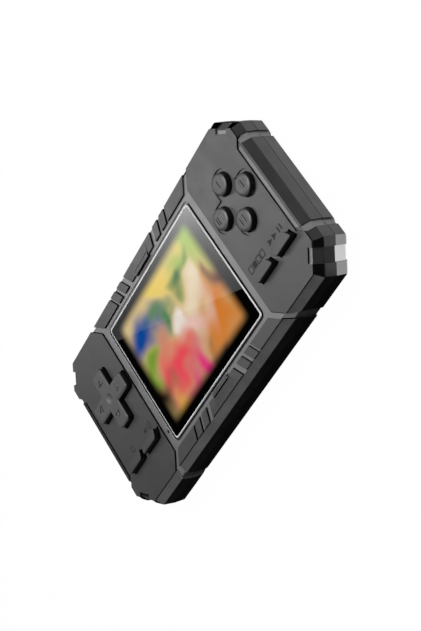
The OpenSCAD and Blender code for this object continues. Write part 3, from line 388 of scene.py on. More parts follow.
def picture_look():
    """Abstract spots of colour behind the cover, with black print outside the picture."""
    s = Shader("display_picture")
    place = s.node("SeparateXYZ")
    s.link(s.place(), place.inputs[0])
    u, v = (
        s.maths("DIVIDE", s.maths("SUBTRACT", place.outputs[axis], at * MM), size / 2 * MM)
        for axis, at, size in zip("XY", VIEW_AT, (VIEW_L, VIEW_W))
    )
    across = s.maths("ADD", u, s.spread(s.noise(14, 1), -0.2, 0.2))
    up = s.maths("ADD", v, s.spread(s.noise(17, 1), -0.24, 0.24))
    point = s.node("CombineXYZ")
    s.link(across, point.inputs["X"])
    s.link(up, point.inputs["Y"])
    height = s.spread(up, 0, 1, -1, 1)
    picture = s.ramp(height, (0.1, PICTURE_LOW), (0.9, PICTURE_HIGH), smooth=True)
    for at_u, at_v, reach, colour in PICTURE_SPOTS:
        away = s.node("VectorMath", operation="DISTANCE")
        s.link(point.outputs[0], away.inputs[0])
        away.inputs[1].default_value = (at_u, at_v, 0)
        near = s.spread(away.outputs["Value"], 1, 0, reach * 0.1, reach * 1.2, smooth=True)
        picture = s.mix(near, picture, colour)
    fades = (
        s.spread(s.maths("ABSOLUTE", axis), 1, 0, start, PICTURE_END, smooth=True)
        for axis, start in zip((u, v), PICTURE_FADE)
    )
    picture = s.mix(s.maths("MULTIPLY", *fades), (0, 0, 0), picture)
    return s.surface(
        base_color=s.ramp(s.noise(8, 3), (0.3, PRINT_DEEP), (0.7, PRINT_PALE)),
        roughness=0.7, specular_ior_level=0.0,
        emission_color=picture, emission_strength=1.0,
    )


def board_look():
    s = Shader("circuit_board")
    tracks = s.node("TexBrick", offset=0.35, squash=0.6)
    s.link(s.place(), tracks.inputs["Vector"])
    tracks.inputs["Scale"].default_value = 260
    tracks.inputs["Mortar Size"].default_value = 0.03
    for key, colour in (("Color1", (0.01, 0.09, 0.035)), ("Color2", (0.008, 0.07, 0.03)),
                        ("Mortar", (0.02, 0.16, 0.06))):
        tracks.inputs[key].default_value = (*colour, 1)
    return s.surface(
        base_color=tracks.outputs["Color"], roughness=s.spread(s.noise(2, 3), 0.3, 0.45),
        specular_ior_level=0.5, normal=s.bump(tracks.outputs["Fac"], 0.03),
    )


def wrap_look():
    s = Shader("battery_wrap")
    crease = s.noise(5, 4, stretch=(1, 3, 1))
    base = s.ramp(crease, (0.3, (0.05, 0.09, 0.17)), (0.7, (0.07, 0.12, 0.21)))
    return s.surface(
        base_color=base, roughness=s.spread(crease, 0.22, 0.36), normal=s.bump(crease, 0.05),
    )


def film_look(name, colour):
    s = Shader(name)
    lines = s.noise(0.7, 2, stretch=(8, 1, 1))
    base = s.ramp(lines, (0.35, scaled(colour, 0.6)), (0.65, colour))
    return s.surface(base_color=base, roughness=s.spread(lines, 0.3, 0.45))


def light_pipe_look():
    s = Shader("light_pipe")
    milk = s.noise(0.8, 2)
    base = s.ramp(milk, (0.3, (0.02, 0.02, 0.02)), (0.7, (0.03, 0.03, 0.03)))
    return s.surface(base_color=base, roughness=s.spread(milk, 0.15, 0.25), coat_weight=0.6)


def speaker_look():
    """Paper cone with fine concentric rings."""
    s = Shader("speaker_cone")
    mapping = s.node("Mapping")
    at = middle_of("speaker")
    mapping.inputs["Location"].default_value = (-at.x * MM, -at.y * MM, 0)
    s.link(s.place(), mapping.inputs["Vector"])
    rings = s.node("TexWave", wave_type="RINGS", rings_direction="Z")
    s.link(mapping.outputs[0], rings.inputs["Vector"])
    rings.inputs["Scale"].default_value = 260
    base = s.ramp(rings.outputs["Fac"], (0.2, (0.012, 0.012, 0.012)), (0.8, (0.03, 0.03, 0.03)))
    return s.surface(base_color=base, roughness=0.7, normal=s.bump(rings.outputs["Fac"], 0.05))


# Meshes

# Distance in millimetres within which corners are welded, and degrees within which faces join
WELD, JOIN_ANGLE = 0.002, 0.5


def node_bmesh(name):
    """The node's solid with its triangles joined into whole faces."""
    bm = bmesh.new()
    bm.from_mesh(NODES[name].data)
    bmesh.ops.remove_doubles(bm, verts=bm.verts, dist=WELD * MM)
    bmesh.ops.dissolve_limit(
        bm, angle_limit=math.radians(JOIN_ANGLE), verts=bm.verts, edges=bm.edges
    )
    bm.normal_update()
    return bm


def finish_piece(bm, name, body, looks, nodes=(), sharp=42, round_mm=0):
    """Makes a bmesh a piece that rides on a body; round_mm rounds edges by their weight."""
    mesh = bpy.data.meshes.new(name)
    bm.normal_update()
    bm.to_mesh(mesh)
    bm.free()
    for look in looks:
        mesh.materials.append(look)
    mesh.shade_smooth()
    mesh.set_sharp_from_angle(angle=math.radians(sharp))
    piece = bpy.data.objects.new(name, mesh)
    scene.collection.objects.link(piece)
    if round_mm:
        soft = piece.modifiers.new("soft_edges", "BEVEL")
        soft.limit_method = "WEIGHT"
        soft.width = round_mm * MM
        soft.segments = 2
        soft.use_clamp_overlap = False
        soft.material = -1
    weighted = piece.modifiers.new("flat_faces", "WEIGHTED_NORMAL")
    weighted.keep_sharp = True
    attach(piece, body)
    if nodes:
        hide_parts(*nodes)


def edge_angle(edge):
    return math.degrees(edge.calc_face_angle(0)) if len(edge.link_faces) == 2 else 0


def bevel(bm, edges, width_mm, segments=2):
    if edges:
        bmesh.ops.bevel(
            bm, geom=list(edges), offset=width_mm * MM, offset_type="OFFSET", segments=segments,
            profile=0.5, affect="EDGES", clamp_overlap=False, loop_slide=True, material=-1,
        )
        bm.normal_update()


def slab(bm, at, size, soft):
    """Adds a box with softened edges; returns its faces."""
    place = Matrix.Translation(Vector(at) * MM) @ Matrix.Diagonal((*size, 1))
    verts = bmesh.ops.create_cube(bm, size=MM, matrix=place)["verts"]
    before = set(bm.faces) - {f for v in verts for f in v.link_faces}
    bevel(bm, dict.fromkeys(e for v in verts for e in v.link_edges), soft)
    return [f for f in bm.faces if f not in before]


# Start of a ray off its face in millimetres, how far it tilts outward, and its least outward part
RAY_LIFT, RAY_TILTS, RAY_OUTWARD = 0.01, (0, 1, 3), -0.1


def open_faces(bm, up):
    """Faces that see the outside on their side of the case; up is +1 for the front half."""
    tree = BVHTree.FromBMesh(bm)
    axis = Vector((0, 0, up))
    seen = set()
    for face in bm.faces:
        start = face.calc_center_median() + face.normal * RAY_LIFT * MM
        for tilt in RAY_TILTS:
            way = (face.normal + axis * tilt).normalized()
            if way.z * up > RAY_OUTWARD and tree.ray_cast(start, way)[0] is None:
                seen.add(face)
                break
    return seen


# Least upward part of the normal of a level face and of a slight fall, and the most of a wall's
FLAT, GENTLE, WALL = 0.99, 0.95, 0.02
# Least part of a direction along an axis that counts as a tilt to it, and as lying along it
TILT, ALONG = 0.3, 0.9


def slanted(face):
    return WALL < abs(face.normal.z) < GENTLE


# Rounding of the shell's slanted edges in millimetres, and the share of it that others take
SKIN_ROUND = 0.2
STEP_WEIGHT = 0.1
OPENING_WEIGHT = 0.7
# Angles in degrees between the faces of rounded slanted edges, and the least one at a step
SLANT_ANGLES = (15, 75)
STEP_ANGLE = 30
# Widths of the painted shadow lines at the foot of steps and of diagonal walls, in millimetres
STEP_SHADOW_W = 0.25
FOOT_SHADOW_W = 0.6
# Least depths of a sunk face and of an opening, and slack in comparing heights, in millimetres
SUNK_DEPTH = 0.3
OPENING_DEPTH = 0.45
SLACK, SEAM_SLACK = 0.1, 0.3


def paint_shell(faces):
    """Gives the channels their own tone, and paints shade and light on a shell half: on its steps,
    the gap round the cover, the end bars, the corner guards and the sunk slopes.
    """
    reach = {}

    def key(face):
        return tuple(round(c, 1) for c in face.normal)

    for face in faces:
        if slanted(face):
            outward = face.normal.dot(face.verts[0].co)
            reach[key(face)] = max(reach.get(key(face), -1), outward)
    for face in faces:
        n = face.normal
        middle = face.calc_center_median() / MM
        top = max(v.co.z for v in face.verts) / MM
        corner_sum = abs(middle.x) + abs(middle.y)
        bar = abs(middle.x) > END_BAR_X and abs(middle.y) < END_BAR_Y
        if n.z > FLAT:
            low = middle.z < (PLATE_Z + FACE_Z) / 2
            in_cluster = (middle.xy - CLUSTER_AT).length < CLUSTER_REACH
            notch = corner_sum > NOTCH_SUM and middle.x < 0
            slit = abs(abs(middle.y) - SLIT_Y) < SLIT_W and abs(middle.x) < SLIT_X
            # Painted shade and light: the floor of the gap round the cover
            if middle.z < FACE_Z - SLACK:
                face.material_index = MOAT_SHADE_LIGHT
            # Painted shade: the left notch floors and the slit floors are black
            elif low and (notch or slit):
                face.material_index = STEP_SHADE
            elif low and not in_cluster:
                face.material_index = CHANNEL
        elif n.z > GENTLE:
            # Painted highlight on the right end bar's inner strip, painted shade on the rest of
            # both end bars
            if bar:
                face.material_index = CREST_LIT if 0 < middle.x < END_BAR_CREST else BAR_SHADE
        elif abs(n.z) < WALL:
            # Painted shade: step walls are black; walls of the gap round the cover take its
            # painted shade
            if top > FACE_Z - SLACK:
                face.material_index = MOAT_SHADE_LIGHT if top < FACE_Z + SLACK else STEP_SHADE
        elif slanted(face):
            sunk = reach[key(face)] - n.dot(face.verts[0].co) > SUNK_DEPTH * MM
            # Painted light and shade on the corner guards: paler metallic copies of the plastic on
            # facets and downward grooves, the dark case plastic on upward grooves at the near
            # corner and the paler channel tone on those elsewhere, painted shade on steep grooves
            if corner_sum > CORNER_SUM and min(abs(n.x), abs(n.y)) > TILT:
                if n.z > TILT:
                    near = middle.x > 0 > middle.y
                    face.material_index = (SHELL if near else CHANNEL) if sunk else CORNER_LIT
                elif n.z > 0:
                    face.material_index = BAR_SHADE if sunk else SHELL
                else:
                    face.material_index = GROOVE_LIT if sunk else CORNER_LIT
            # Painted light: sunk slopes and walls of the channels get paler copies of the channel
            # tone
            elif sunk and not bar:
                face.material_index = FLANK_LIT if n.x > ALONG else SLOPE_LIT


def in_diagonal(x):
    return DIAGONAL_X[0] < x < DIAGONAL_X[1]


def paint_side_walls(bm):
    """Paints light on the walls of the diagonal channels where they run down the long sides, as a
    paler copy of the channel tone.
    """
    for face in bm.faces:
        middle = face.calc_center_median() / MM
        on_side = in_diagonal(abs(middle.x)) and abs(middle.y) > FACE_Y
        if on_side and abs(face.normal.z) < WALL:
            face.material_index = FLANK_LIT


# Painted shadow: a black strip on the channel floor next to each step
def shade_step_feet(bm, faces):
    """Paints a shadow line along the foot of the steps in the channels; returns the new faces."""
    floors = [
        f for f in bm.faces
        if f in faces and f.material_index == CHANNEL and f.normal.z > FLAT
    ]
    if not floors:
        return []
    made = bmesh.ops.inset_region(
        bm, faces=floors, thickness=STEP_SHADOW_W * MM, use_even_offset=True, use_boundary=True
    )["faces"]
    bm.normal_update()
    for face in made:
        middle = face.calc_center_median() / MM
        outside = abs(middle.x) > END_BAR_X or abs(middle.x) + abs(middle.y) > NOTCH_SUM
        feet = (f for e in face.edges if not e.is_convex for f in e.link_faces)
        if not outside and any(f.material_index == STEP_SHADE for f in feet):
            face.material_index = STEP_SHADE
    return made


def cut(bm, faces, at, normal):
    """Cuts faces along a plane through a point in millimetres; returns their pieces."""
    parts = [part for f in faces for part in (*f.verts, *f.edges, f)]
    made = bmesh.ops.bisect_plane(
        bm, geom=list(dict.fromkeys(parts)), dist=0.001 * MM,
        plane_co=Vector(at) * MM, plane_no=normal,
    )
    bm.normal_update()
    return [part for part in made["geom"] if isinstance(part, bmesh.types.BMFace)]


def split_bar(bm):
    """Cuts the right end bar's top along its crest, so that the inner side takes a painted
    highlight and the outer side painted shade.
    """
    tops = [
        f for f in bm.faces
        if GENTLE < f.normal.z < FLAT and f.calc_center_median().x > END_BAR_X * MM
    ]
    cut(bm, tops, (END_BAR_CREST, 0, 0), (1, 0, 0))


# Painted shadow: a black strip on the slope next to each right diagonal wall
def shade_diagonal_feet(bm):
    """Paints a shadow line down the slopes of the right diagonal channels, by their inner walls.
    """
    made = []
    for side in (-1, 1):
        floors = [
            f for f in bm.faces
            if f.material_index == SLOPE_LIT and TILT < f.normal.z < GENTLE
            and in_diagonal(f.calc_center_median().x / MM)
            and f.calc_center_median().y * side > 0
        ]
        for face in cut(bm, floors, (DIAGONAL_WALL + FOOT_SHADOW_W, 0, 0), (1, -side, 0)):
            made.append(face)
            middle = face.calc_center_median() / MM
            if middle.x - abs(middle.y) < DIAGONAL_WALL + FOOT_SHADOW_W:
                face.material_index = STEP_SHADE
    return made


def rings_opening(edge):
    """True between a level face and the wall of an opening for a key, the pad or the cover."""
    low = min(v.co.z for f in edge.link_faces for v in f.verts)
    return low < (FACE_Z - OPENING_DEPTH) * MM and any(f.normal.z > FLAT for f in edge.link_faces)


def at_seam(edge):
    return all(abs(v.co.z / MM - SEAM_Z) < SEAM_SLACK for v in edge.verts)


def edge_weight(edge):
    """Share of the shell's rounding that an edge between two outer faces takes."""
    angle = edge_angle(edge)
    if all(slanted(f) for f in edge.link_faces) and SLANT_ANGLES[0] < angle < SLANT_ANGLES[1]:
        return 1.0
    if angle > STEP_ANGLE and not at_seam(edge):
        return OPENING_WEIGHT if rings_opening(edge) else STEP_WEIGHT
    return 0.0


def build_shell(node, up):
    bm = node_bmesh(node)
    split_bar(bm)
    faces = open_faces(bm, up)
    paint_shell(faces)
    paint_side_walls(bm)
    faces.update(shade_diagonal_feet(bm), shade_step_feet(bm, faces))
    weight = bm.edges.layers.float.new("bevel_weight_edge")
    for edge in bm.edges:
        if len(edge.link_faces) == 2 and all(f in faces for f in edge.link_faces):
            edge[weight] = edge_weight(edge)
    finish_piece(
        bm, node + "_skin", "case", SHELL_LOOKS, [node],
        sharp=30, round_mm=SKIN_ROUND,
    )


build_shell("front_shell", 1)
build_shell("back_shell", -1)


# Painted shade: faces steeper than a tilt take a piece's second, near-black material
def shade_sides(bm):
    for face in bm.faces:
        face.material_index = 1 if abs(face.normal.z) < TILT else 0


def upright(edge):
    return abs((edge.verts[0].co - edge.verts[1].co).normalized().z) > ALONG


# Roundings of the keys and the pad in millimetres
KEY_CORNER, KEY_RIM = 0.8, 0.3
PAD_FILLET, PAD_RIM = 0.35, 0.05
# Least angles in degrees at a square edge and at the rims of a key and of the pad
SQUARE_ANGLE, KEY_ANGLE, PAD_ANGLE = 60, 30, 25
# Upward part of the normals of the bevel round the pad's top
PAD_SLOPE = (0.5, 0.9)
# Slack in millimetres in finding the rim of an outer face
RIM_SLACK = 0.05


def build_key(node, body):
    """Small key with rounded upright edges and a bevelled top."""
    bm = node_bmesh(node)
    top = (box_of(node)[1].z - RIM_SLACK) * MM
    corners = [
        e for e in bm.edges if upright(e) and all(v.co.z > KEY_NECK * MM for v in e.verts)
    ]
    bevel(bm, corners, KEY_CORNER, 5)
    rim = [
        e for e in bm.edges
        if all(v.co.z > top for v in e.verts) and edge_angle(e) > KEY_ANGLE
    ]
    bevel(bm, rim, KEY_RIM, 3)
    shade_sides(bm)
    finish_piece(bm, node + "_cap", body, (key_look, side_shade_look), [node], sharp=30)


for node, body in (("select_button", "select_key"), ("start_button", "start_key"),
                   ("reset_button", "reset_key"), ("volume_button", "volume_key")):
    build_key(node, body)


def build_dpad():
    """Direction pad with filleted inner corners and a fine bevel round its top."""
    bm = node_bmesh("dpad")
    neck = PAD_NECK * MM
    inner = [
        e for e in bm.edges
        if upright(e) and not e.is_convex and edge_angle(e) > SQUARE_ANGLE
        and max(v.co.z for v in e.verts) > neck
    ]
    bevel(bm, inner, PAD_FILLET, 4)
    rim = [
        e for e in bm.edges
        if edge_angle(e) > PAD_ANGLE and all(v.co.z > neck for v in e.verts)
        and any(PAD_SLOPE[0] < f.normal.z < PAD_SLOPE[1] for f in e.link_faces)
    ]
    bevel(bm, rim, PAD_RIM, 1)
    shade_sides(bm)
    finish_piece(
        bm, "dpad_cap", "direction_pad", (pad_look, side_shade_look), ["dpad"], sharp=30
    )


build_dpad()


def build_button(node, body):
    """Round button with painted shade on its sides under its crowned top."""
    bm = node_bmesh(node)
    shade_sides(bm)
    finish_piece(
        bm, node + "_cap", body, (button_look, barrel_shade_look), [node], sharp=35
    )


for place in ("top", "right", "bottom", "left"):
    build_button("action_button_" + place, "action_" + place)


# Width of the cover's rim and how far in its long sides are drawn, in millimetres
RIM_W, RIM_IN = 0.3, 0.1
# Upward part of a normal past which a face is rim, and part along Y below which it is near rim
RIM_UP, RIM_NEAR = 0.1, -0.5
# Painted shade: how far the highlight on the near side of the rim is dimmed
NEAR_RIM_SHADE_LEVEL = 0.4
# Gap round the picture film, its thickness and its height above the cover's underside
FILM_GAP, FILM_THICK, FILM_UP = 0.4, 0.04, 0.04
# Rounding of films and contacts, in millimetres
FINE_ROUND = 0.01


def build_lens():
    """Clear cover with a painted highlight on its rim, and the picture bonded into its underside.
    """
    bm = node_bmesh("lens")
    top = [face for face in bm.faces if face.normal.z > FLAT]
    bmesh.ops.inset_region(bm, faces=top, thickness=RIM_W * MM, use_even_offset=True)
    for vert in {v for face in top for v in face.verts}:
        vert.co.y -= math.copysign(RIM_IN * MM, vert.co.y)
    bm.normal_update()
    # Painted highlight on the rim, dimmed as painted shade on its near side
    for face in bm.faces:
        if face.normal.z > RIM_UP and face not in top:
            face.material_index = 2 if face.normal.y < RIM_NEAR else 1
    looks = (
        glass_look(), rim_highlight_look("rim_painted_highlight", 1.0),
        rim_highlight_look("near_rim_painted_highlight_and_shade", NEAR_RIM_SHADE_LEVEL),
    )
    finish_piece(bm, "lens_cover", "case", looks, ["lens"], sharp=25)
    at = middle_of("lens")
    at.z = LENS_LOW.z + FILM_UP
    film = bmesh.new()
    sides = (LENS_HIGH.x * 2 - FILM_GAP * 2, LENS_HIGH.y * 2 - FILM_GAP * 2)
    slab(film, at, (*sides, FILM_THICK), FINE_ROUND)
    finish_piece(film, "display_film", "case", (picture_look(),))


build_lens()


# Printed pictograms above the small keys
INK_RISE = 0.02


def ink(bm, points):
    """A thin printed patch on the plate, with the given outline in millimetres."""
    low, high = (
        [bm.verts.new((x * MM, y * MM, z * MM)) for x, y in points]
        for z in (PLATE_Z - INK_RISE, PLATE_Z + INK_RISE)
    )
    bm.faces.new(high)
    bm.faces.new(low[::-1])
    for i in range(len(points)):
        j = (i + 1) % len(points)
        bm.faces.new((low[i], low[j], high[j], high[i]))


def stroke(bm, points):
    """Printed line along the points, one patch for each stretch."""
    for a, b in zip(points, points[1:]):
        a, b = Vector(a), Vector(b)
        side = (b - a).normalized().orthogonal() * LINE_W / 2
        ink(bm, [a - side, b - side, b + side, a + side])


def arc(x, radius, start, end, steps=10):
    """Points along an arc round a point at middle height, from a start to an end in degrees."""
    turns = [math.radians(start + (end - start) * i / steps) for i in range(steps + 1)]
    return [(x + radius * math.cos(t), radius * math.sin(t)) for t in turns]


def box(x, width, half):
    """Corners of a box that lies evenly about the middle height."""
    return [(x, -half), (x + width, -half), (x + width, half), (x, half)]


# Gap above the keys, half height and line width of the marks, in millimetres
LABEL_GAP, LABEL_HALF, LINE_W = 1.8, 1.2, 0.42
# Parts of the marks: places from the key's left end and from the mark's middle height, and sizes
SELECT_BOXES, SELECT_FILLED = 4, 1
SELECT_X, SELECT_PITCH, SELECT_W = 0.1, 2.75, 2.2
TRIANGLES_X, TRIANGLE_W = (0.9, 3.9), 2.6
BARS_X, BAR_W = (7.5, 9.1), 0.8
RESET_X, RESET_RADIUS, RESET_ARC = 7.1, 1.1, (60, 350)
RESET_HEAD = ((7.35, 0.8), (8.15, 1.25), (8.0, 0.25))
BOX_X, HORN_X, HORN_END, WAVES_X = 4.4, 5.3, 6.5, 6.6
BOX_HALF = 0.5
WAVE_RADII, WAVE_ARC, WAVE_STEPS = (1.2, 2.3, 3.4), (-38, 38), 8


def select_mark(bm):
    """Four boxes in a row, one of them filled."""
    for i in range(SELECT_BOXES):
        corners = box(SELECT_X + i * SELECT_PITCH, SELECT_W, LABEL_HALF)
        if i == SELECT_FILLED:
            ink(bm, corners)
        else:
            stroke(bm, corners + corners[:1])


def start_mark(bm):
    """Two triangles and two bars."""
    for x in TRIANGLES_X:
        ink(bm, [(x, -LABEL_HALF), (x + TRIANGLE_W, 0), (x, LABEL_HALF)])
    for x in BARS_X:
        ink(bm, box(x, BAR_W, LABEL_HALF))


def reset_mark(bm):
    """Open ring with an arrowhead."""
    stroke(bm, arc(RESET_X, RESET_RADIUS, *RESET_ARC))
    ink(bm, RESET_HEAD)


def volume_mark(bm):
    """Loudspeaker with three waves."""
    ink(bm, box(BOX_X, HORN_X - BOX_X, BOX_HALF))
    ink(bm, [
        (HORN_X, -BOX_HALF), (HORN_END, -LABEL_HALF), (HORN_END, LABEL_HALF), (HORN_X, BOX_HALF),
    ])
    for radius in WAVE_RADII:
        stroke(bm, arc(WAVES_X, radius, *WAVE_ARC, WAVE_STEPS))


def build_label(key, draw):
    """Pictogram above a key, from the key's left end on."""
    bm = bmesh.new()
    draw(bm)
    low, high = box_of(key + "_button")
    at = Vector((low.x, high.y + LABEL_GAP + LABEL_HALF, 0))
    bmesh.ops.translate(bm, verts=bm.verts, vec=at * MM)
    finish_piece(bm, key + "_label", "case", (label_look,))


for key, draw in (("select", select_mark), ("start", start_mark),
                  ("reset", reset_mark), ("volume", volume_mark)):
    build_label(key, draw)


# Back, top edge and inner pieces

# Grip ridges of the battery cover, in millimetres: the longest are in the middle of the row
RIDGES, RIDGE_PITCH = 6, 1.8
# How far the first lies from the cover's left end, and its middle outside the cover's face
RIDGE_IN, RIDGE_OUT = 6.2, 0.04
RIDGE_W, RIDGE_L, RIDGE_H = 0.9, 14.0, 0.36
RIDGE_TAPER = 1.6
DOOR_ROUND, RIDGE_ROUND = 0.3, 0.12


def build_cover():
    """Battery cover with a soft edge and a row of grip ridges."""
    bm = node_bmesh("battery_cover")
    low = box_of("battery_cover")[0]
    rim = [
        e for e in bm.edges
        if all(v.co.z < (low.z + RIM_SLACK) * MM for v in e.verts)
        and edge_angle(e) > SQUARE_ANGLE
    ]
    bevel(bm, rim, DOOR_ROUND, 3)
    for i in range(RIDGES):
        length = RIDGE_L - abs(i - (RIDGES - 1) / 2) * RIDGE_TAPER
        at = (low.x + RIDGE_IN + i * RIDGE_PITCH, 0, low.z - RIDGE_OUT)
        slab(bm, at, (RIDGE_W, length, RIDGE_H), RIDGE_ROUND)
    finish_piece(
        bm, "battery_cover_skin", "battery_door", (shell_look,), ["battery_cover"]
    )


build_cover()


# Ribs of the power switch, in millimetres
RIB_PITCH = 1.3
RIB_SIZE = (0.5, 0.4, 1.7)
SWITCH_ROUND, RIB_ROUND = 0.2, 0.1


def build_switch():
    """Power switch with ribs across its thumb pad."""
    bm = node_bmesh("power_switch_cap")
    face_y = box_of("power_switch_cap")[1].y
    pad = [v.co.x / MM for v in bm.verts if v.co.y > (face_y - RIM_SLACK) * MM]
    middle = (min(pad) + max(pad)) / 2
    rim = [
        e for e in bm.edges
        if all(v.co.y > (face_y - RIM_SLACK) * MM for v in e.verts)
        and edge_angle(e) > SQUARE_ANGLE
    ]
    bevel(bm, rim, SWITCH_ROUND, 3)
    rib_z = middle_of("power_switch_cap").z
    for i in (-1, 0, 1):
        slab(bm, (middle + i * RIB_PITCH, face_y, rib_z), RIB_SIZE, RIB_ROUND)
    finish_piece(
        bm, "power_switch_skin", "power_switch", (switch_look,), ["power_switch_cap"]
    )


build_switch()


# Tongue of the charging socket and its contacts, in millimetres and shares of a length
TONGUE_W, TONGUE_H, TONGUE_SHARE, TONGUE_IN = 5.0, 0.75, 0.62, 1.0
CONTACTS, CONTACT_PITCH, CONTACT_SHARE = 5, 0.85, 0.8
CONTACT_W, CONTACT_H = 0.35, 0.06
TONGUE_ROUND = 0.15


def build_usb_tongue():
    """Contact tongue inside the charging socket."""
    low, high = box_of("usb_socket")
    length = (high.y - low.y) * TONGUE_SHARE
    at = (low + high) / 2
    at.y = high.y - TONGUE_IN - length / 2
    bm = bmesh.new()
    slab(bm, at, (TONGUE_W, length, TONGUE_H), TONGUE_ROUND)
    for i in range(CONTACTS):
        place = at + Vector(((i - CONTACTS // 2) * CONTACT_PITCH, 0, TONGUE_H / 2))
        for face in slab(bm, place, (CONTACT_W, length * CONTACT_SHARE, CONTACT_H), FINE_ROUND):
            face.material_index = 1
    finish_piece(bm, "usb_tongue", "case", (jack_look, brass_look))


build_usb_tongue()


# Outline of the ring's section: radius and height above the socket's mouth, in millimetres
RING_PROFILE = ((1.82, -0.6), (1.82, 0.02), (1.95, 0.1), (2.2, 0.1), (2.35, 0.0), (2.35, -0.6))
RING_STEPS = 48


def build_jack_ring():
    """Plated ring round the mouth of the earphone socket."""
    low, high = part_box("earphone_jack")
    middle = (low + high) / 2
    bm = bmesh.new()
    loops = []
    for i in range(RING_STEPS):
        turn = 2 * math.pi * i / RING_STEPS
        loops.append([
            bm.verts.new((
                middle.x + radius * MM * math.cos(turn), high.y + y * MM,
                middle.z + radius * MM * math.sin(turn),
            ))
            for radius, y in RING_PROFILE
        ])
    for a, b in zip(loops, loops[1:] + loops[:1]):
        for k in range(len(RING_PROFILE)):
            m = (k + 1) % len(RING_PROFILE)
            bm.faces.new((a[k], a[m], b[m], b[k]))
    bmesh.ops.recalc_face_normals(bm, faces=bm.faces)
    finish_piece(bm, "jack_ring", "case", (steel_look,))


build_jack_ring()

NODE_LOOKS = {
    "lens_adhesive": foam_look,
    "lcd_glass": moulded("display_glass", (0.006, 0.006, 0.007), rough=0.12, depth=0.0005),
    "lcd_backlight": moulded("diffuser", (0.7, 0.7, 0.68), rough=0.6),
    "lcd_tray": steel_look,
    "lcd_foam": foam_look,
    "lcd_ribbon": film_look("ribbon_film", (0.42, 0.2, 0.04)),
    "main_board": board_look(),
    "main_chip": jack_look,
    "memory_chip": jack_look,
    "board_components": steel_look,
    "dpad_pivot": key_look,
    "dpad_membrane": mat_look,
    "action_membrane": mat_look,
    "left_key_membrane": mat_look,
    "right_key_membrane": mat_look,
    "battery": wrap_look(),
    "battery_contacts": brass_look,
    "speaker": speaker_look(),
    "speaker_gasket": foam_look,
    "speaker_contacts": brass_look,
    "power_switch_body": steel_look,
    "usb_socket": steel_look,
    "earphone_jack": jack_look,
    "status_light_pipe": light_pipe_look(),
    "status_led": moulded("led_case", (0.6, 0.58, 0.45), rough=0.4),
    "case_screws": screw_look,
    "board_screws": screw_look,
}
for node, look in NODE_LOOKS.items():
    NODES[node].data.materials.clear()
    NODES[node].data.materials.append(look)


# Studio
def stage_plane(name, corners, material):
    mesh = bpy.data.meshes.new(name)
    mesh.from_pydata([tuple(c) for c in corners], [], [tuple(range(len(corners)))])
    mesh.materials.append(material)
    plane = bpy.data.objects.new(name, mesh)
    scene.collection.objects.link(plane)
    return plane


FLOOR_BOUNCE = 0.04
FLOOR_WHITE = 0.985


def floor_look():
    """Pale floor: white to the camera and in reflections, with the part's shadow left in."""
    s = Shader("floor")
    path = s.node("LightPath")
    seen = s.maths("MAXIMUM", path.outputs["Is Camera Ray"], path.outputs["Is Glossy Ray"])
    seen = s.maths("MAXIMUM", seen, path.outputs["Is Transmission Ray"])
    diffuse = s.node("BsdfDiffuse")
    paper = s.noise(9, 4)
    tone = s.ramp(paper, (0.3, (0.93, 0.93, 0.93)), (0.7, (0.97, 0.97, 0.97)))
    s.link(s.mix(seen, (FLOOR_BOUNCE,) * 3, tone), diffuse.inputs[0])
    white = s.node("Emission")
    white.inputs["Color"].default_value = (1, 1, 1, 1)
    both = s.node("MixShader")
    s.link(s.maths("MULTIPLY", seen, FLOOR_WHITE), both.inputs[0])
    s.link(diffuse.outputs[0], both.inputs[1])
    s.link(white.outputs[0], both.inputs[2])
    under = s.node("MixShader")
    s.link(s.node("NewGeometry").outputs["Backfacing"], under.inputs[0])
    s.link(both.outputs[0], under.inputs[1])
    s.link(s.node("BsdfTransparent").outputs[0], under.inputs[2])
    s.link(under.outputs[0], s.out.inputs[0])
    return s.material


# Half side and height of the floor in metres, a hair below the part
FLOOR_REACH, FLOOR_Z = 6.0, -0.00003
FLOOR_CORNERS = ((-1, -1), (1, -1), (1, 1), (-1, 1))
stage_plane(
    "floor", [(x * FLOOR_REACH, y * FLOOR_REACH, FLOOR_Z) for x, y in FLOOR_CORNERS], floor_look()
)


def card_look(name, strength):
    """A card that shines with a constant strength, or with one that a call makes in its shader."""
    s = Shader(name)
    glow = s.node("Emission")
    glow.inputs["Color"].default_value = (1, 1, 1, 1)
    s.feed(glow.inputs["Strength"], strength(s) if callable(strength) else strength)
    s.link(glow.outputs[0], s.out.inputs[0])
    return s.material


def only_in_reflections(plane):
    plane.visible_camera = False
    plane.visible_diffuse = False
    plane.visible_transmission = False
    plane.visible_shadow = False


def mirrored(point, distance):
    """Where the camera's ray goes on after a mirror at face height, at that distance along it."""
    hit = Vector((point[0], point[1], LENS_HIGH.z))
    way = (hit - CAMERA_AT).normalized()
    way.z = -way.z
    return (hit + way * distance) * MM


# Distance of the cards along the mirrored rays, in millimetres
CARD_FAR = 620
# Corners of the softbox as the cover shows them, the first two along its sharp edge
SOFTBOX_SEEN = ((-130, 68.8), (64, -28.6), (84, 20), (20, 84))
# From where to where it grows brighter, its strength at the start, and how many times it grows
SOFTBOX_RISE = ((0, 0), (27.8, 30.1))
SOFTBOX_LEVEL, SOFTBOX_GAIN = 0.52, 12.8
# Dim card that only the rough plates on the left catch
LEFT_CARD_SEEN = ((-96, 58), (-30, 44), (-20, 90), (-100, 110))
LEFT_CARD_LEVEL = 3.2


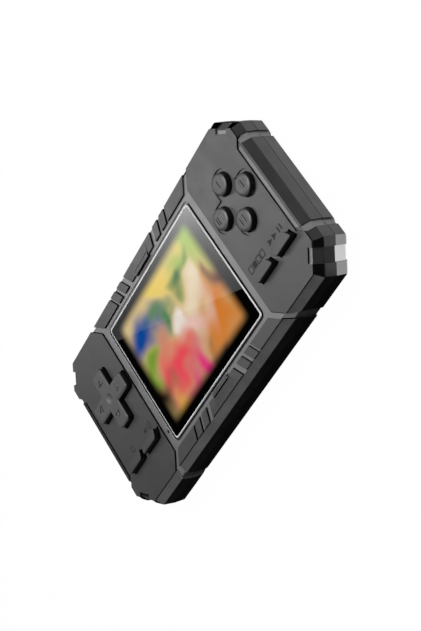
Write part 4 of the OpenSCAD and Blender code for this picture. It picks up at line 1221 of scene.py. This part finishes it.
def softbox_glow(s):
    """Strength that is low along the softbox's sharp edge and highest towards the far corner."""
    start, end = (mirrored(p, CARD_FAR) for p in SOFTBOX_RISE)
    way = (end - start).normalized()
    along = s.node("VectorMath", operation="DOT_PRODUCT")
    s.link(s.node("NewGeometry").outputs["Position"], along.inputs[0])
    along.inputs[1].default_value = way
    rise = s.spread(along.outputs["Value"], 0, 1, start.dot(way), end.dot(way))
    return s.maths("MULTIPLY", s.maths("POWER", SOFTBOX_GAIN, rise), SOFTBOX_LEVEL)


for name, seen, strength in (("softbox_card", SOFTBOX_SEEN, softbox_glow),
                             ("left_card", LEFT_CARD_SEEN, LEFT_CARD_LEVEL)):
    only_in_reflections(stage_plane(
        name, [mirrored(p, CARD_FAR) for p in seen], card_look(name, strength)
    ))


# Black cards that only reflections show: height and outline of those that lie flat, and the ends
# and heights of the upright one at the far side, in millimetres
FLAT_FLAGS = {
    "floor_flag": (0.2, (
        (-400, -500), (500, -500), (500, -80), (90, -56),
        (71, -45.5), (64.9, -37.5), (62.5, -35), (-400, -35),
    )),
    "left_flag": (0.25, ((-600, -37.5), (-74, -37.5), (-74, 300), (-600, 300))),
    "far_floor_flag": (0.3, ((-20, 50), (130, 50), (200, 300), (-120, 300))),
}
FAR_FLAG_X, FAR_FLAG_Y, FAR_FLAG_Z = (-600, 350), 300, (0.2, 160)


def black_flag(name, corners):
    only_in_reflections(stage_plane(
        name, [Vector(c) * MM for c in corners], card_look(name, 0.0)
    ))


for name, (height, outline) in FLAT_FLAGS.items():
    black_flag(name, [(x, y, height) for x, y in outline])
black_flag("far_flag", [(x, FAR_FLAG_Y, FAR_FLAG_Z[0]) for x in FAR_FLAG_X] + [
    (x, FAR_FLAG_Y, FAR_FLAG_Z[1]) for x in reversed(FAR_FLAG_X)
])


# Low card: the way to it from the part, its distance and its corners across and up, in metres
LOW_CARD_WAY = Vector((-0.63, -0.74, 0.236)).normalized()
LOW_CARD_FAR = 0.7
LOW_CARD_CORNERS = ((-0.3, -0.14), (0.3, -0.14), (0.3, 0.2), (-0.3, 0.2))
LOW_CARD_LEVEL = 1.25


def low_card():
    """Card that the front bevel along the near edge reflects."""
    side = LOW_CARD_WAY.cross(Vector((0, 0, 1))).normalized()
    up = side.cross(LOW_CARD_WAY)
    middle = LOW_CARD_WAY * LOW_CARD_FAR
    corners = [middle + side * x + up * z for x, z in LOW_CARD_CORNERS]
    look = card_look("low_card", LOW_CARD_LEVEL)
    only_in_reflections(stage_plane("low_card", corners, look))


low_card()

# Overhead light: place and sides in metres, power in watts
OVERHEAD_AT = Vector((0.07, 0.19, 0.72))
OVERHEAD_SIZE = (0.5, 0.45)
OVERHEAD_POWER = 5.15


def overhead_light():
    """Soft light from above the far side, aimed at the part."""
    data = bpy.data.lights.new("overhead", "AREA")
    data.shape = "RECTANGLE"
    data.size, data.size_y = OVERHEAD_SIZE
    data.energy = OVERHEAD_POWER
    lamp = bpy.data.objects.new("overhead", data)
    scene.collection.objects.link(lamp)
    lamp.location = OVERHEAD_AT
    lamp.rotation_mode = "QUATERNION"
    lamp.rotation_quaternion = (-OVERHEAD_AT).to_track_quat("-Z", "Y")


overhead_light()

# Strength of the white surroundings, and what reflections and the camera see instead
AMBIENT_LEVEL = 0.05
AMBIENT_SEEN = {"Is Glossy Ray": 0.01, "Is Camera Ray": 1.0}


def surroundings():
    world = bpy.data.worlds.new("studio")
    scene.world = world
    world.use_nodes = True
    tree = world.node_tree
    tree.nodes.clear()
    path = tree.nodes.new("ShaderNodeLightPath")
    start = tree.nodes.new("ShaderNodeValue")
    level = start.outputs[0]
    level.default_value = AMBIENT_LEVEL
    for ray, strength in AMBIENT_SEEN.items():
        choice = tree.nodes.new("ShaderNodeMix")
        tree.links.new(path.outputs[ray], choice.inputs[0])
        tree.links.new(level, choice.inputs[2])
        choice.inputs[3].default_value = strength
        level = choice.outputs[0]
    ambient = tree.nodes.new("ShaderNodeBackground")
    ambient.inputs["Color"].default_value = (1, 1, 1, 1)
    tree.links.new(level, ambient.inputs["Strength"])
    out = tree.nodes.new("ShaderNodeOutputWorld")
    tree.links.new(ambient.outputs[0], out.inputs[0])


surroundings()
